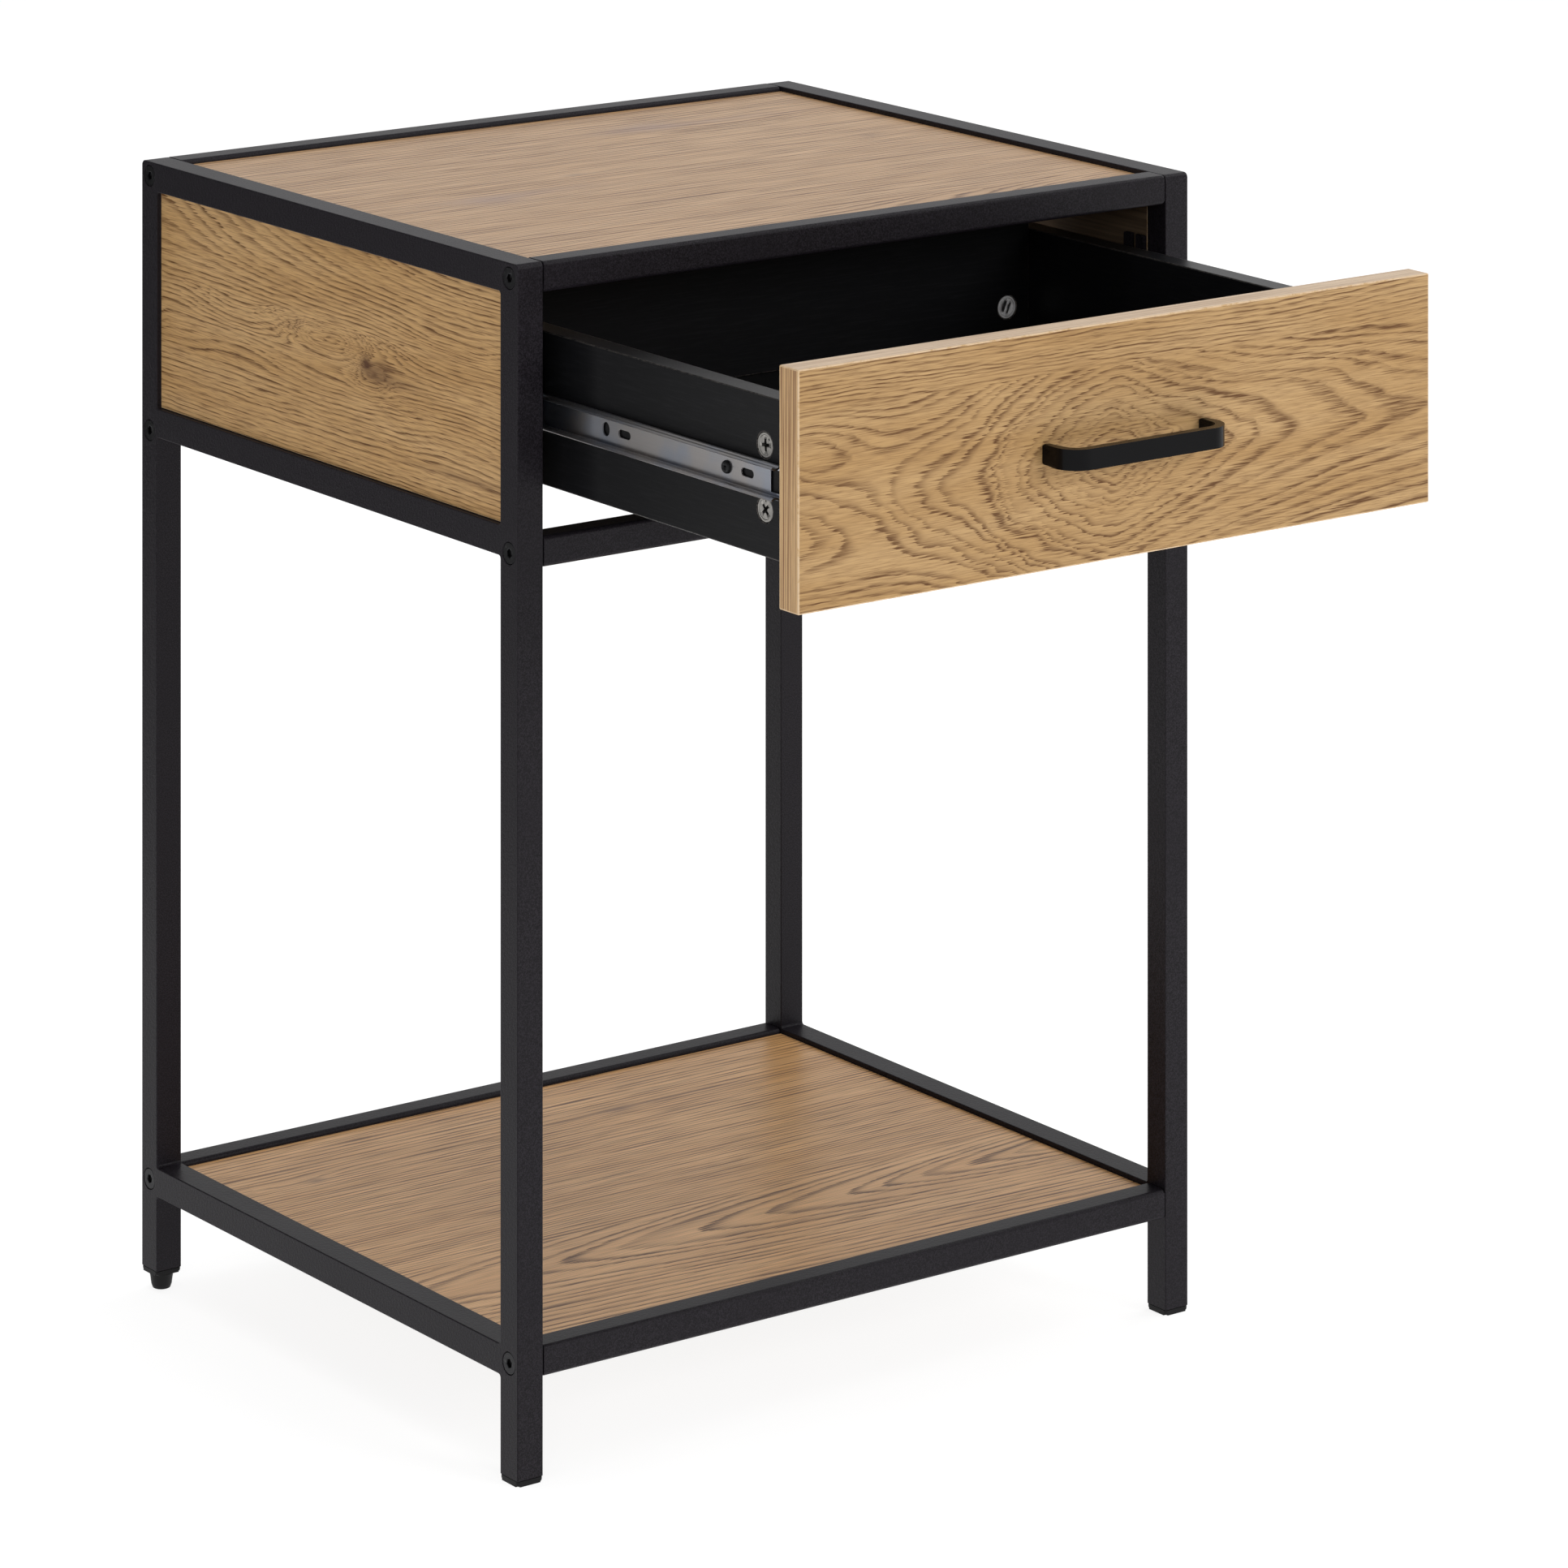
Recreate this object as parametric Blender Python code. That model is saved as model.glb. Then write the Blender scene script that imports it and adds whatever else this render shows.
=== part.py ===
"""Side table with one drawer: two welded square-tube side frames joined by six bolted cross rails,
oak-faced boards set into the frame, and a drawer on two-member ball-bearing runners.

X is the width, -Y is the front and Z is up from the floor. The drawer is modelled shut and carried
forward by its parent empty, so that the table stands with its drawer part open.
"""

import math

import bmesh
import bpy
from mathutils import Matrix, Vector

# ---- Driving dimensions, metres --------------------------------------------------------------

WIDTH = 0.420
DEPTH = 0.350
HEIGHT = 0.590

TUBE = 0.015
TUBE_RADIUS = 0.002
TUBE_WALL = 0.0012
GAP = 0.0003            # between any two touching pieces
RAIL_SEAM = 0.0006      # visible joint at each end of a cross rail

BOTTOM_RAIL_TOP = 0.0655
SIDE_MIDDLE_RAIL_TOP = 0.462
CROSS_MIDDLE_RAIL_TOP = 0.457
FRONT_LEG_END = 0.0029
BACK_LEG_END = 0.0113

PANEL = 0.012
PANEL_RECESS = 0.0025

DRAWER_TRAVEL = 0.205   # how far the drawer stands open
HANDLE_PROJECTION = 0.022
BOARD = 0.015           # drawer front
BOARD_HALF_WIDTH = 0.1934
BOARD_BOTTOM = 0.4595
BOARD_TOP = 0.5723
BOX_HALF_WIDTH = 0.1834
BOX_WALL = 0.012
BOX_BOTTOM = 0.4775
BOX_TOP = 0.5525
BOX_BACK_TOP = 0.5565
BOX_LENGTH = 0.285
BOTTOM_TOP = 0.4978
BOTTOM_SHEET = 0.003
GROOVE_DEPTH = 0.003

RUNNER_HEIGHT = 0.5145  # its centre line
RUNNER_FRONT = 0.017
RUNNER_LENGTH = 0.280
MEMBER_FRONT = 0.025
MEMBER_LENGTH = 0.270
WEB_SETBACK = 0.0087    # the drawer member's web ends behind its lips
SHEET = 0.001           # steel of both runner members
BALL_RADIUS = 0.002
BALL_OFFSET = 0.0095    # ball row above and below the centre line
RACE_RADIUS = 0.00235
CAGE_LENGTH = 0.064
CAGE_CENTRE = 0.157
CAGE_SHEET = 0.0006
BALLS_PER_ROW = 4
CABINET_SLOTS = (0.075, 0.200)
CABINET_SLOT_SIZE = (0.0070, 0.0040)
MEMBER_SCREWS = (0.0676, 0.2700)
MEMBER_SCREW_HOLE = 0.0021
MEMBER_LONG_SLOTS = (0.0515, 0.1512, 0.2500)
MEMBER_LONG_SLOT_SIZE = (0.0100, 0.0040)
MEMBER_TALL_SLOT = 0.1667
MEMBER_TALL_SLOT_SIZE = (0.0046, 0.0068)
MEMBER_NOTCH = 0.0055   # half the height of the cut in the web's front end

BRACKET = 0.002
BRACKET_WIDTH = 0.016
BRACKET_TOP = 0.5565
BRACKET_SLOT_HALF_WIDTH = 0.0018
BRACKET_SLOT_DEPTH = 0.008
BRACKET_SCREW_HOLE = 0.00245
TAB = 0.0013            # plates under the boards
TAB_HALF_WIDTH = 0.010
TAB_REACH = 0.021
TAB_X = 0.110
WELD = 0.0002           # how far welded plates run into a tube

BOLT_HEAD_RADIUS = 0.0052
BOLT_RADIUS = 0.0025
BOLT_LENGTH = 0.030
BUSH_RADIUS = 0.0062    # spacer in the leg that the bolt pulls against
SMALL_CROSS = (0.0030, 0.0007, 0.0009)   # a driver recess's length, width and depth
HANDLE_CROSS = (0.0032, 0.0008, 0.0010)
CAM_CROSS = (0.0052, 0.0011, 0.0018)
HEX_ACROSS_FLATS = 0.004
HEX_DEPTH = 0.0022
SCREW_RADIUS = 0.0018   # hole for a handle screw in the drawer front
PILOT_RADIUS = 0.0017
PILOT_DEPTH = 0.0110
CAM_RADIUS = 0.006
CAM_DEPTH = 0.0078
CAM_INSET = 0.0245      # behind the drawer front
CAM_SPREAD = 0.015      # above and below the runner's centre line
BACK_CAM_X = 0.1564
BACK_CAM_LEVEL = 0.5128
HANDLE_CENTRES = 0.096
HANDLE_STRIP = 0.0046
HANDLE_HEIGHT = 0.010
HANDLE_LEVEL = 0.5149
HANDLE_BEND = 0.0125

FOOT_TOP_RADIUS = 0.0063
FOOT_BASE_RADIUS = 0.0048
FOOT_HEIGHT = 0.0084
STEM_RADIUS = 0.003
PLUG_INSERT = 0.012     # how far a plug reaches up its leg

PAST = 0.010            # how far a cutter runs clear of the face it cuts

# The origin is midway between the handle's face and the back of the table.
FRONT = (DRAWER_TRAVEL + HANDLE_PROJECTION - DEPTH) / 2
HALF_WIDTH = WIDTH / 2
INNER_X = HALF_WIDTH - TUBE
BACK_TUBE = DEPTH - TUBE
BOLT_LEVELS = (
    BOTTOM_RAIL_TOP - TUBE / 2,
    CROSS_MIDDLE_RAIL_TOP - TUBE / 2,
    HEIGHT - TUBE / 2,
)
BOLT_DEPTHS = (TUBE / 2, DEPTH - TUBE / 2)
BRACKET_DEPTHS = (0.024, 0.283)
BRACKET_BACK = INNER_X + WELD
PANEL_FACE = HALF_WIDTH - PANEL_RECESS - PANEL
RUNNER_WALL = BRACKET_BACK - BRACKET - GAP


# ---- Materials and objects -------------------------------------------------------------------


def material(name, colour, roughness, metallic=0.0):
    made = bpy.data.materials.new(name)
    made.use_nodes = True
    shader = made.node_tree.nodes["Principled BSDF"]
    shader.inputs["Base Color"].default_value = (*colour, 1.0)
    shader.inputs["Roughness"].default_value = roughness
    shader.inputs["Metallic"].default_value = metallic
    return made


def place(name, mesh, finish, location=(0, 0, 0), rotation=(0, 0, 0), parent=None):
    """Adds a named object with its material."""
    thing = bpy.data.objects.new(name, mesh)
    bpy.context.scene.collection.objects.link(thing)
    thing.location = location
    thing.rotation_euler = rotation
    thing.parent = parent
    if finish and not mesh.materials:
        mesh.materials.append(finish)
    return thing


def carrier(name, offset):
    """An empty that carries moving pieces forward from where they are modelled."""
    empty = bpy.data.objects.new(name, None)
    bpy.context.scene.collection.objects.link(empty)
    empty.location = (0, -offset, 0)
    return empty


def to_mesh(name, shape, smooth=False):
    bmesh.ops.recalc_face_normals(shape, faces=shape.faces)
    mesh = bpy.data.meshes.new(name)
    shape.to_mesh(mesh)
    shape.free()
    if smooth:
        mesh.shade_smooth()
        mesh.set_sharp_from_angle(angle=math.radians(35))
    return mesh


# ---- Shapes ----------------------------------------------------------------------------------


def add_box(shape, low, high):
    size = [b - a for a, b in zip(low, high)]
    centre = [(a + b) / 2 for a, b in zip(low, high)]
    matrix = Matrix.Translation(centre) @ Matrix.Diagonal((*size, 1.0))
    return bmesh.ops.create_cube(shape, size=1.0, matrix=matrix)["verts"]


def boxes(name, corners, bevel=0.0):
    """One mesh of boxes, each given by its lowest and highest corner, with bevelled edges."""
    shape = bmesh.new()
    for low, high in corners:
        add_box(shape, low, high)
    if bevel:
        bmesh.ops.bevel(shape, geom=shape.edges[:], offset=bevel, segments=1, affect="EDGES")
    return to_mesh(name, shape)


def rounded_square(side, radius, segments=2):
    """Points round a square of the given side, centred on the origin."""
    reach = side / 2 - radius
    points = []
    for quarter in range(4):
        corner = Vector((reach, reach))
        corner.rotate(Matrix.Rotation(quarter * math.pi / 2, 2))
        for step in range(segments + 1):
            angle = (quarter + step / segments) * math.pi / 2
            points.append(corner + radius * Vector((math.cos(angle), math.sin(angle))))
    return points


def add_prism(shape, outline, axis, start, end):
    """Extrudes a 2D outline along X (outline in YZ), Y (in XZ) or Z (in XY)."""
    spread = {
        "X": lambda u, v, t: (t, u, v),
        "Y": lambda u, v, t: (u, t, v),
        "Z": lambda u, v, t: (u, v, t),
    }[axis]
    corners = [shape.verts.new(spread(u, v, start)) for u, v in outline]
    face = shape.faces.new(corners)
    swept = bmesh.ops.extrude_face_region(shape, geom=[face])["geom"]
    far = [item for item in swept if isinstance(item, bmesh.types.BMVert)]
    bmesh.ops.translate(shape, verts=far, vec=spread(0, 0, end - start))
    return far


def add_turned(shape, profile, steps):
    """A solid of revolution about Z from (height, radius) points, with flat ends."""
    rings = []
    for height, radius in profile:
        turns = [2 * math.pi * step / steps for step in range(steps)]
        ring = [shape.verts.new((radius * math.cos(t), radius * math.sin(t), height)) for t in turns]
        rings.append(ring)
    for below, above in zip(rings, rings[1:]):
        for step in range(steps):
            after = (step + 1) % steps
            shape.faces.new((below[step], below[after], above[after], above[step]))
    shape.faces.new(rings[0][::-1])
    shape.faces.new(rings[-1])


def arc(centre, radius, start, end, steps):
    """Points on an arc, angles in degrees."""
    points = []
    for step in range(steps + 1):
        angle = math.radians(start + (end - start) * step / steps)
        points.append(centre + radius * Vector((math.cos(angle), math.sin(angle))))
    return points


def ribbon(line, thickness):
    """The outline of a strip of sheet that follows a line of 2D points."""
    sides = ([], [])
    for index, point in enumerate(line):
        before = line[max(index - 1, 0)]
        after = line[min(index + 1, len(line) - 1)]
        run = (after - before).normalized()
        across = Vector((-run.y, run.x)) * thickness / 2
        sides[0].append(point + across)
        sides[1].append(point - across)
    return sides[0] + sides[1][::-1]


def combine(thing, others, operation):
    """Joins shapes to an object or cuts them from it, and keeps the result as its mesh."""
    for other in others:
        step = thing.modifiers.new(operation, "BOOLEAN")
        step.operation = operation
        step.solver = "EXACT"
        step.object = other
    graph = bpy.context.evaluated_depsgraph_get()
    mesh = bpy.data.meshes.new_from_object(thing.evaluated_get(graph))
    thing.modifiers.clear()
    thing.data = mesh
    for other in others:
        bpy.data.objects.remove(other)


def tool(mesh, location=(0, 0, 0), rotation=(0, 0, 0)):
    """A shape that is joined to or cut from another and isn't a piece itself."""
    return place("tool", mesh, None, location, rotation)


def turned_tool(profile, location, rotation, steps=16):
    shape = bmesh.new()
    add_turned(shape, profile, steps)
    return tool(to_mesh("tool", shape), location, rotation)


def box_tool(low, high):
    return tool(boxes("tool", [(low, high)]))


def turned_mesh(name, profile, steps=16):
    shape = bmesh.new()
    add_turned(shape, profile, steps)
    return to_mesh(name, shape, smooth=True)


def facing(side):
    """The turn that points a piece's own +Z outward along X on the left (-1) or right (1)."""
    return (0, side * math.pi / 2, 0)


FACING_FRONT = (math.pi / 2, 0, 0)
FACING_BACK = (-math.pi / 2, 0, 0)


def span(side, near, far):
    """Two X values, lowest first, on the left (-1) or right (1)."""
    return sorted((side * near, side * far))


# ---- Side frames -----------------------------------------------------------------------------


def ladder(inset, leg_ends):
    """Legs and side rails as cells of one grid in YZ: {(column, row)} on the given lines."""
    columns = [0, TUBE, BACK_TUBE, DEPTH]
    rows = []
    for top in (BOTTOM_RAIL_TOP, SIDE_MIDDLE_RAIL_TOP, HEIGHT):
        rows += [top - TUBE, top]
    columns = [y + (inset if i % 2 == 0 else -inset) for i, y in enumerate(columns)]
    rows = [z + (inset if i % 2 == 0 else -inset) for i, z in enumerate(rows)]
    cells = []
    for column, end in ((0, leg_ends[0]), (2, leg_ends[1])):
        levels = [end] + rows
        for low, high in zip(levels, levels[1:]):
            cells.append((columns[column], columns[column + 1], low, high))
    for low, high in zip(rows[::2], rows[1::2]):
        cells.append((columns[1], columns[2], low, high))
    return cells


def ladder_mesh(name, cells, low_x, high_x, radius=0.0):
    """A solid of one thickness over grid cells, its outward corners rounded except at the legs' ends."""
    shape = bmesh.new()
    for y0, y1, z0, z1 in cells:
        corners = [(y0, z0), (y1, z0), (y1, z1), (y0, z1)]
        shape.faces.new([shape.verts.new((low_x, FRONT + y, z)) for y, z in corners])
    bmesh.ops.remove_doubles(shape, verts=shape.verts, dist=1e-6)
    swept = bmesh.ops.extrude_face_region(shape, geom=shape.faces[:])["geom"]
    far = [item for item in swept if isinstance(item, bmesh.types.BMVert)]
    bmesh.ops.translate(shape, verts=far, vec=(high_x - low_x, 0, 0))
    bmesh.ops.recalc_face_normals(shape, faces=shape.faces)
    if radius:
        ends = (FRONT_LEG_END, BACK_LEG_END)
        sharp = []
        for edge in shape.edges:
            level = all(any(abs(v.co.z - end) < 1e-6 for end in ends) for v in edge.verts)
            if not level and edge.calc_face_angle(0) > 1.0 and edge.is_convex:
                sharp.append(edge)
        bmesh.ops.bevel(shape, geom=sharp, offset=radius, segments=2, profile=0.5, affect="EDGES")
    return to_mesh(name, shape)


def side_frame(name, side, paint):
    """Two legs and three side rails, welded: hollow tube, bolt bushes, and two runner brackets."""
    low_x, high_x = span(side, INNER_X, HALF_WIDTH)
    ends = (FRONT_LEG_END, BACK_LEG_END)
    frame = place(name, ladder_mesh(name, ladder(0, ends), low_x, high_x, TUBE_RADIUS), paint)

    hollow_cells = ladder(TUBE_WALL, [end - TUBE for end in ends])
    hollow = tool(ladder_mesh("tool", hollow_cells, low_x + TUBE_WALL, high_x - TUBE_WALL))
    bush = [(-TUBE, BUSH_RADIUS), (TUBE, BUSH_RADIUS)]
    places = [(depth, level) for depth in BOLT_DEPTHS for level in BOLT_LEVELS]
    middle = side * (HALF_WIDTH - TUBE / 2)
    bushes = [turned_tool(bush, (middle, FRONT + d, z), facing(side), 12) for d, z in places]
    combine(hollow, bushes, "DIFFERENCE")
    combine(frame, [hollow], "DIFFERENCE")

    mouth = BOLT_HEAD_RADIUS + GAP
    narrow = BOLT_RADIUS + GAP
    rim = -0.0008
    hole = [(-2 * TUBE, narrow), (rim - mouth + narrow, narrow), (rim, mouth), (TUBE, mouth)]
    bolt_holes = []
    for depth, level in places:
        bolt_holes.append(turned_tool(hole, (side * HALF_WIDTH, FRONT + depth, level), facing(side)))
    combine(frame, bolt_holes, "DIFFERENCE")

    for depth in BRACKET_DEPTHS:
        combine(frame, [bracket_tool(side, depth)], "UNION")
    frame.data.materials.clear()
    frame.data.materials.append(paint)
    return frame


def bracket_tool(side, depth):
    """A plate that stands on the middle side rail and carries the runner, slotted at its top."""
    y0 = FRONT + depth - BRACKET_WIDTH / 2
    y1 = FRONT + depth + BRACKET_WIDTH / 2
    root = SIDE_MIDDLE_RAIL_TOP - 0.8 * TUBE
    bite = 0.0006
    x0, x1 = span(side, BRACKET_BACK - BRACKET, BRACKET_BACK)
    foot0, foot1 = span(side, BRACKET_BACK - BRACKET, BRACKET_BACK + bite)
    plate = tool(boxes("tool", [((x0, y0, root), (x1, y1, BRACKET_TOP))]))
    foot = box_tool((foot0, y0, root), (foot1, y1, SIDE_MIDDLE_RAIL_TOP - TUBE_RADIUS))
    combine(plate, [foot], "UNION")
    slot = box_tool(
        (x0 - GAP, FRONT + depth - BRACKET_SLOT_HALF_WIDTH, BRACKET_TOP - BRACKET_SLOT_DEPTH),
        (x1 + GAP, FRONT + depth + BRACKET_SLOT_HALF_WIDTH, BRACKET_TOP + PAST),
    )
    drilling = [(-2 * BRACKET, BRACKET_SCREW_HOLE), (2 * BRACKET, BRACKET_SCREW_HOLE)]
    screw_hole = turned_tool(drilling, (side * INNER_X, FRONT + depth, RUNNER_HEIGHT), facing(side))
    combine(plate, [slot, screw_hole], "DIFFERENCE")
    return plate


# ---- Cross rails -----------------------------------------------------------------------------


def cross_rail(name, depth, top, tabs, paint):
    """A tube between the side frames, its ends closed by plates tapped for the frame bolts."""
    middle = (FRONT + depth + TUBE / 2, top - TUBE / 2)
    end = INNER_X - RAIL_SEAM
    plate = 0.003
    shape = bmesh.new()
    outline = [(u + middle[0], v + middle[1]) for u, v in rounded_square(TUBE, TUBE_RADIUS)]
    add_prism(shape, outline, "X", -end, end)
    rail = place(name, to_mesh(name, shape), paint)

    half = TUBE / 2 - TUBE_WALL
    hollow = box_tool(
        (plate - end, middle[0] - half, middle[1] - half),
        (end - plate, middle[0] + half, middle[1] + half),
    )
    drilling = [(-end - TUBE, BOLT_RADIUS + GAP), (end + TUBE, BOLT_RADIUS + GAP)]
    bore = turned_tool(drilling, (0, *middle), facing(1))
    combine(rail, tabs, "UNION")
    combine(rail, [hollow, bore], "DIFFERENCE")
    rail.data.materials.clear()
    rail.data.materials.append(paint)
    return rail


def level_tabs(depth, top, inward):
    """Two small plates under a rail that reach in below the board it carries."""
    tabs = []
    for x in (-TAB_X, TAB_X):
        y0, y1 = sorted((depth + TUBE / 2, depth + TUBE / 2 + inward * TAB_REACH))
        low = (x - TAB_HALF_WIDTH, FRONT + y0, top - TUBE - TAB)
        high = (x + TAB_HALF_WIDTH, FRONT + y1, top - TUBE + WELD)
        tabs.append(box_tool(low, high))
    return tabs


def upright_tabs(top):
    """Two small plates on the front of the back middle rail that reach up over the back panel."""
    tabs = []
    for x in (-TAB_X, TAB_X):
        low = (x - TAB_HALF_WIDTH, FRONT + BACK_TUBE - TAB, top - TUBE / 2)
        high = (x + TAB_HALF_WIDTH, FRONT + BACK_TUBE + WELD, top - TUBE / 2 + TAB_REACH)
        tabs.append(box_tool(low, high))
    return tabs


def cross_rails(paint):
    levels = {"bottom": BOTTOM_RAIL_TOP, "middle": CROSS_MIDDLE_RAIL_TOP, "top": HEIGHT}
    for level, top in levels.items():
        for place_name, depth, inward in (("front", 0, 1), ("back", BACK_TUBE, -1)):
            tabs = []
            if level != "middle":
                tabs += level_tabs(depth, top, inward)
            if place_name == "back" and level == "middle":
                tabs += upright_tabs(top)
            cross_rail(f"{place_name}_{level}_cross_rail", depth, top, tabs, paint)


# ---- Boards in the frame ---------------------------------------------------------------------


def frame_boards(oak):
    edge = 0.0004
    x = INNER_X - GAP
    y0 = FRONT + TUBE + GAP
    y1 = FRONT + BACK_TUBE - GAP
    for name, top in (("top_panel", HEIGHT), ("lower_shelf", BOTTOM_RAIL_TOP)):
        z1 = top - PANEL_RECESS
        place(name, boxes(name, [((-x, y0, z1 - PANEL), (x, y1, z1))], edge), oak)
    z0 = SIDE_MIDDLE_RAIL_TOP + GAP
    z1 = HEIGHT - TUBE - GAP
    for name, side in (("left_side_panel", -1), ("right_side_panel", 1)):
        x0, x1 = span(side, PANEL_FACE, PANEL_FACE + PANEL)
        place(name, boxes(name, [((x0, y0, z0), (x1, y1, z1))], edge), oak)
    z0 = CROSS_MIDDLE_RAIL_TOP + GAP
    z1 = HEIGHT - TUBE - TAB - GAP
    back = FRONT + DEPTH - PANEL_RECESS
    low = (-x, back - PANEL, z0)
    high = (x, back, z1)
    place("back_panel", boxes("back_panel", [(low, high)], edge), oak)


# ---- Fasteners -------------------------------------------------------------------------------


def hexagon_tool(across_flats, depth):
    shape = bmesh.new()
    radius = across_flats / math.sqrt(3)
    add_turned(shape, [(-depth, radius), (depth, radius)], steps=6)
    return tool(to_mesh("tool", shape))


def cross_tool(length, width, depth):
    corners = []
    for along, wide in ((length, width), (width, length)):
        corners.append(((-along / 2, -wide / 2, -depth), (along / 2, wide / 2, depth)))
    cross = tool(boxes("tool", corners[:1]))
    combine(cross, [tool(boxes("tool", corners[1:]))], "UNION")
    return cross


def driven_mesh(name, profile, recess, steps=16):
    """A turned fastener, its head's face at height 0, with a driver recess cut in it."""
    blank = tool(turned_mesh(name, profile, steps))
    combine(blank, [recess], "DIFFERENCE")
    mesh = blank.data
    mesh.name = name
    bpy.data.objects.remove(blank)
    return mesh


def frame_bolts(steel):
    cone = BOLT_HEAD_RADIUS - BOLT_RADIUS
    profile = [
        (-BOLT_LENGTH, BOLT_RADIUS - 0.0004),
        (-BOLT_LENGTH + 0.0004, BOLT_RADIUS),
        (-cone - 0.0003, BOLT_RADIUS),
        (-0.0003, BOLT_HEAD_RADIUS),
        (0, BOLT_HEAD_RADIUS),
    ]
    mesh = driven_mesh("frame_bolt", profile, hexagon_tool(HEX_ACROSS_FLATS, HEX_DEPTH))
    for side_name, side in (("left", -1), ("right", 1)):
        for place_name, depth in zip(("front", "back"), BOLT_DEPTHS):
            for level_name, level in zip(("bottom", "middle", "top"), BOLT_LEVELS):
                name = f"{side_name}_{place_name}_{level_name}_bolt"
                spot = (side * (HALF_WIDTH - 0.0002), FRONT + depth, level)
                place(name, mesh, steel, spot, facing(side))


def leg_plug(name, spot, flange, bored, plastic):
    """A plug in a leg's open end: a flange with a rounded lower edge and a square insert."""
    shape = bmesh.new()
    round_over = 0.0010
    far = add_prism(shape, rounded_square(TUBE, TUBE_RADIUS), "Z", flange, 0)
    lower = [e for e in shape.edges if all(v in far for v in e.verts)]
    bmesh.ops.bevel(shape, geom=lower, offset=round_over, segments=2, profile=0.5, affect="EDGES")
    plug = place(name, to_mesh(name, shape), plastic, spot)
    insert = bmesh.new()
    width = TUBE - 2 * TUBE_WALL - 2 * GAP
    corner = TUBE_RADIUS - TUBE_WALL
    add_prism(insert, rounded_square(width, corner, 1), "Z", flange / 2, flange + PLUG_INSERT)
    combine(plug, [tool(to_mesh("tool", insert), spot)], "UNION")
    if bored:
        drilling = [(-PAST, STEM_RADIUS + GAP), (PLUG_INSERT + PAST, STEM_RADIUS + GAP)]
        combine(plug, [turned_tool(drilling, spot, (0, 0, 0))], "DIFFERENCE")
    plug.data.materials.clear()
    plug.data.materials.append(plastic)


def leg_ends(plastic):
    """Plain plugs under the front legs, and plugs with screw-in levelling feet under the back."""
    foot = [
        (0, FOOT_BASE_RADIUS),
        (0.0007, FOOT_BASE_RADIUS + 0.0007),
        (0.0022, FOOT_BASE_RADIUS + 0.0011),
        (FOOT_HEIGHT - 0.0005, FOOT_TOP_RADIUS),
        (FOOT_HEIGHT, FOOT_TOP_RADIUS - 0.0004),
        (FOOT_HEIGHT, STEM_RADIUS),
        (0.034, STEM_RADIUS),
        (0.0345, STEM_RADIUS - 0.0005),
    ]
    foot_mesh = turned_mesh("levelling_foot", foot)
    for side_name, side in (("left", -1), ("right", 1)):
        x = side * (HALF_WIDTH - TUBE / 2)
        spot = (x, FRONT + TUBE / 2, 0)
        leg_plug(f"{side_name}_front_leg_plug", spot, FRONT_LEG_END - GAP, False, plastic)
        raised = FOOT_HEIGHT + GAP
        spot = (x, FRONT + DEPTH - TUBE / 2, raised)
        flange = BACK_LEG_END - GAP - raised
        leg_plug(f"{side_name}_back_leg_plug", spot, flange, True, plastic)
        place(f"{side_name}_levelling_foot", foot_mesh, plastic, (x, spot[1], 0))


# ---- Runners ---------------------------------------------------------------------------------
# A runner's section is drawn in (out, up): out from the cabinet towards the drawer, up from its
# centre line. Balls run in the grooves between the cabinet member and the drawer member.

BALL_OUT = 0.005
WEB = 0.0087            # middle of the drawer member's web


def mirrored(half):
    """A whole section line from its lower half, which ends on the centre line's level."""
    upper = [Vector((point.x, -point.y)) for point in reversed(half)]
    return half + upper


def cabinet_section():
    ball = Vector((BALL_OUT, -BALL_OFFSET))
    race = RACE_RADIUS + SHEET / 2
    line = arc(ball, race, -30, -125, 6)
    flange = line[-1].y
    bend = 0.0014
    line += arc(Vector((SHEET / 2 + bend, flange + bend)), bend, -90, -180, 3)
    return mirrored(line)


def drawer_section():
    ball = Vector((BALL_OUT, -BALL_OFFSET))
    race = RACE_RADIUS + SHEET / 2
    line = arc(ball, race, 140, 40, 6)
    bend = 0.0009
    line += arc(Vector((WEB - bend, -0.0068)), bend, -80, 0, 3)
    return mirrored(line)


def cage_section():
    web = 0.0019
    line = [
        Vector((0.0070, -BALL_OFFSET)),
        Vector((0.0030, -BALL_OFFSET)),
        Vector((web + 0.0003, -BALL_OFFSET + 0.0004)),
        Vector((web, -BALL_OFFSET + 0.0012)),
    ]
    return mirrored(line)


def sheet_strip(name, section, sheet, side, start, length, steel, parent=None):
    """Extrudes a runner section along Y, its out direction pointing away from the side wall."""
    outline = []
    for out, up in ribbon(section, sheet):
        outline.append((side * (RUNNER_WALL - out), RUNNER_HEIGHT + up))
    shape = bmesh.new()
    add_prism(shape, outline, "Y", FRONT + start, FRONT + start + length)
    return place(name, to_mesh(name, shape), steel, parent=parent)


def slot_tool(side, out, depth, size):
    """A slot with round ends through a runner's web, its size along Y and Z."""
    length, height = size
    radius = min(size) / 2
    reach = max(size) / 2 - radius
    turn = 0 if length > height else 90
    centre = Vector((FRONT + depth, RUNNER_HEIGHT))
    way = Vector((1, 0)) if length > height else Vector((0, 1))
    outline = arc(centre + way * reach, radius, turn - 90, turn + 90, 4)
    outline += arc(centre - way * reach, radius, turn + 90, turn + 270, 4)
    shape = bmesh.new()
    x = side * (RUNNER_WALL - out)
    add_prism(shape, outline, "X", x - 1.5 * SHEET, x + 1.5 * SHEET)
    return tool(to_mesh("tool", shape))


def hole_tool(side, out, depth, radius):
    """A round hole through a runner's web."""
    spot = (side * (RUNNER_WALL - out), FRONT + depth, RUNNER_HEIGHT)
    return turned_tool([(-1.5 * SHEET, radius), (1.5 * SHEET, radius)], spot, facing(1), 16)


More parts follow.
